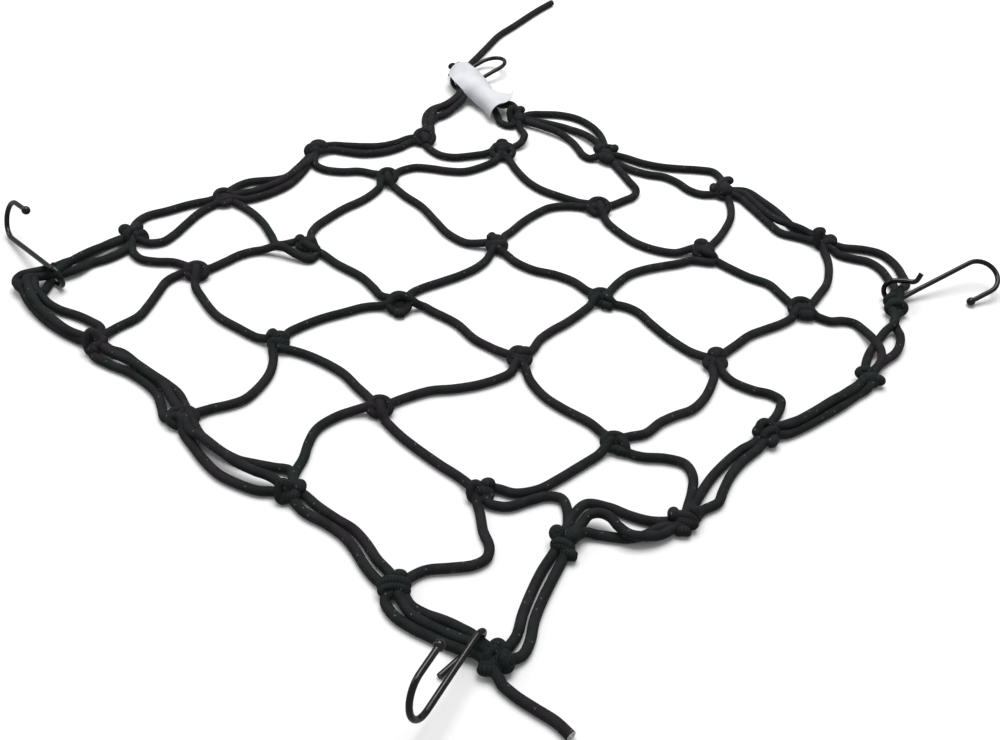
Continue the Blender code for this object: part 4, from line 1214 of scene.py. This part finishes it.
@dataclass
class Label:
    """The blank label, one thin sheet curled over the back left corner of the border."""

    finishes: Finishes
    width: float = 32.0
    thickness: float = 0.5
    start: Point = (-212.5, 187.0)
    end: Point = (-147.5, 161.8)
    rows: int = 61
    columns: int = 49
    sections: tuple[LabelSection, ...] = (
        LabelSection(0.0, -1.0, 15.3, 16.0, 90.0, 85.0, 0.0),
        LabelSection(0.15, -3.5, 16.6, 13.0, 40.0, 64.0, 0.0),
        LabelSection(0.3, -4.0, 16.2, 13.0, 35.0, 62.0, 0.0),
        LabelSection(0.45, -3.0, 15.8, 13.0, 45.0, 76.0, 0.0),
        LabelSection(0.62, -1.5, 15.2, 15.0, 100.0, 98.0, 0.0),
        LabelSection(0.8, 0.0, 15.0, 16.0, 115.0, 30.0, 4.0),
        LabelSection(1.0, 0.5, 15.0, 16.0, 105.0, 6.0, 15.0),
    )

    def size_at(self, name: str, along: np.ndarray) -> np.ndarray:
        """One of the sections' sizes at shares of the length, with a soft step from each to the next.

        Args:
            name: The size's name.
            along: Shares of the length.

        Returns:
            The size at each share.
        """
        places = np.array([section.along for section in self.sections])
        values = np.array([getattr(section, name) for section in self.sections])
        index = np.clip(np.searchsorted(places, along) - 1, 0, len(places) - 2)
        share = (along - places[index]) / (places[index + 1] - places[index])
        share = share * share * (3 - 2 * share)
        return values[index] + (values[index + 1] - values[index]) * share

    def surface(self, depth: float) -> np.ndarray:
        """Points of the sheet at a depth below its face, shaped (rows, columns, 3).

        Across the label each side is an arc of a circle that starts level at the crest; along
        it the sections' sizes blend from one to the next.

        Args:
            depth: Distance below the face in millimetres.

        Returns:
            The points in net millimetres.
        """
        shares = np.linspace(0, 1, self.rows), np.linspace(0, 1, self.columns)
        along, across = np.meshgrid(*shares, indexing="ij")
        near = self.size_at("near_width", along)
        from_crest = across * self.width - near
        is_near = from_crest < 0
        width = np.where(is_near, near, self.width - near)
        curl = np.where(is_near, self.size_at("near_curl", along), self.size_at("far_curl", along))
        radius = width / np.radians(curl)
        angle = from_crest / radius
        side = self.size_at("crest_side", along) + (radius - depth) * np.sin(angle)
        height = self.size_at("crest_height", along) - radius + (radius - depth) * np.cos(angle)
        start, end = np.array(self.start), np.array(self.end)
        ahead = unit(end - start)
        left = np.array([-ahead[1], ahead[0]])
        back = self.size_at("pull_back", along) * (np.maximum(from_crest, 0) / width) ** 2
        flat = start + along[..., None] * (end - start) - ahead * back[..., None] + left * side[..., None]
        return np.concatenate([flat, height[..., None]], axis=-1)

    def build(self) -> list[bpy.types.Object]:
        top, under = self.surface(0.0), self.surface(self.thickness)
        # One ring for each row of the sheet: over the face and back under it.
        rings = np.concatenate([top, under[:, ::-1]], axis=1)
        skin = SkinMesh()
        skin.add_rings(rings, np.zeros(self.rows), rounds=0.0)
        piece = dress(skin.build("blank_label", self.finishes.label), Part.NET, "label_sheet", "label")
        return [piece]


@dataclass
class Studio:
    """The pale floor, the soft lights and the camera."""

    finishes: Finishes
    floor_size: float = 8.0
    lens: float = 45.0
    sensor: float = 36.0
    target: Point = (48.5, -41.2, 0.0)  # where the camera looks, in net millimetres
    distance: float = 682.0  # in millimetres
    elevation: float = 39.2  # in degrees
    roll: float = 4.0  # in degrees
    bearing: Point = (0.6626, -0.7489)  # from the target to the camera, seen from above
    room: float = 0.4  # strength of the light from all round

    def floor(self) -> None:
        """A flat square far wider than the net."""
        half = self.floor_size / 2
        corners = [(-half, -half, 0.0), (half, -half, 0.0), (half, half, 0.0), (-half, half, 0.0)]
        mesh = bpy.data.meshes.new("floor")
        mesh.from_pydata(corners, [], [(0, 1, 2, 3)])
        mesh.materials.append(self.finishes.floor)
        floor = bpy.data.objects.new("floor", mesh)
        bpy.context.scene.collection.objects.link(floor)
        floor.visible_diffuse = floor.visible_glossy = False  # it throws no light back up

    def area_light(self, name: str, place: Point, size: float, power: float) -> None:
        """A square light, turned to the middle of the net.

        Args:
            name: The light's name.
            place: Its middle, in metres.
            size: Length of its side in metres.
            power: Its power in watts.
        """
        data = bpy.data.lights.new(name, "AREA")
        data.size = size
        data.energy = power
        light = bpy.data.objects.new(name, data)
        light.location = place
        light.rotation_euler = Vector(place).to_track_quat("Z", "Y").to_euler()
        bpy.context.scene.collection.objects.link(light)

    def lights(self) -> None:
        """A white room with a broad light overhead and a weaker one at the left."""
        world = bpy.data.worlds.new("room")
        world.use_nodes = True
        background = world.node_tree.nodes["Background"]
        background.inputs[0].default_value = (1.0, 1.0, 1.0, 1.0)
        background.inputs[1].default_value = self.room
        bpy.context.scene.world = world
        self.area_light("overhead", (-0.3, 0.4, 1.8), size=1.4, power=34.0)
        self.area_light("side", (-1.4, -0.6, 1.1), size=0.8, power=5.0)

    def camera(self) -> None:
        """The camera, from the target back along its line of sight, rolled about it."""
        rise = math.radians(self.elevation)
        back = unit(np.array([*(math.cos(rise) * np.array(self.bearing)), math.sin(rise)]))
        side = unit(np.cross([0.0, 0.0, 1.0], back))
        up = np.cross(back, side)
        roll = math.radians(self.roll)
        right = math.cos(roll) * side + math.sin(roll) * up
        top = np.cross(back, right)
        place = to_world(np.array(self.target) + back * self.distance)
        data = bpy.data.cameras.new("camera")
        data.lens = self.lens
        data.sensor_width = self.sensor
        data.clip_start = 0.01
        camera = bpy.data.objects.new("camera", data)
        axes = np.column_stack([right, top, back, place])
        camera.matrix_world = Matrix([*axes.tolist(), [0.0, 0.0, 0.0, 1.0]])
        bpy.context.scene.collection.objects.link(camera)
        bpy.context.scene.camera = camera

    def build(self) -> None:
        """Set the scene round the net."""
        bpy.context.scene.view_settings.view_transform = "Standard"
        self.floor()
        self.lights()
        self.camera()


def main() -> None:
    """Build every sub-assembly and report each piece's faces."""
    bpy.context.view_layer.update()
    finishes = Finishes.make()
    Studio(finishes).build()
    for assembly in (MeshCords, Border, CordTails, WireHooks, Label):
        for piece in assembly(finishes).build():
            LOG.info("%s: %d faces", piece.name, len(piece.data.polygons))


if __name__ == "__main__":
    logging.basicConfig(level=logging.INFO)
    main()
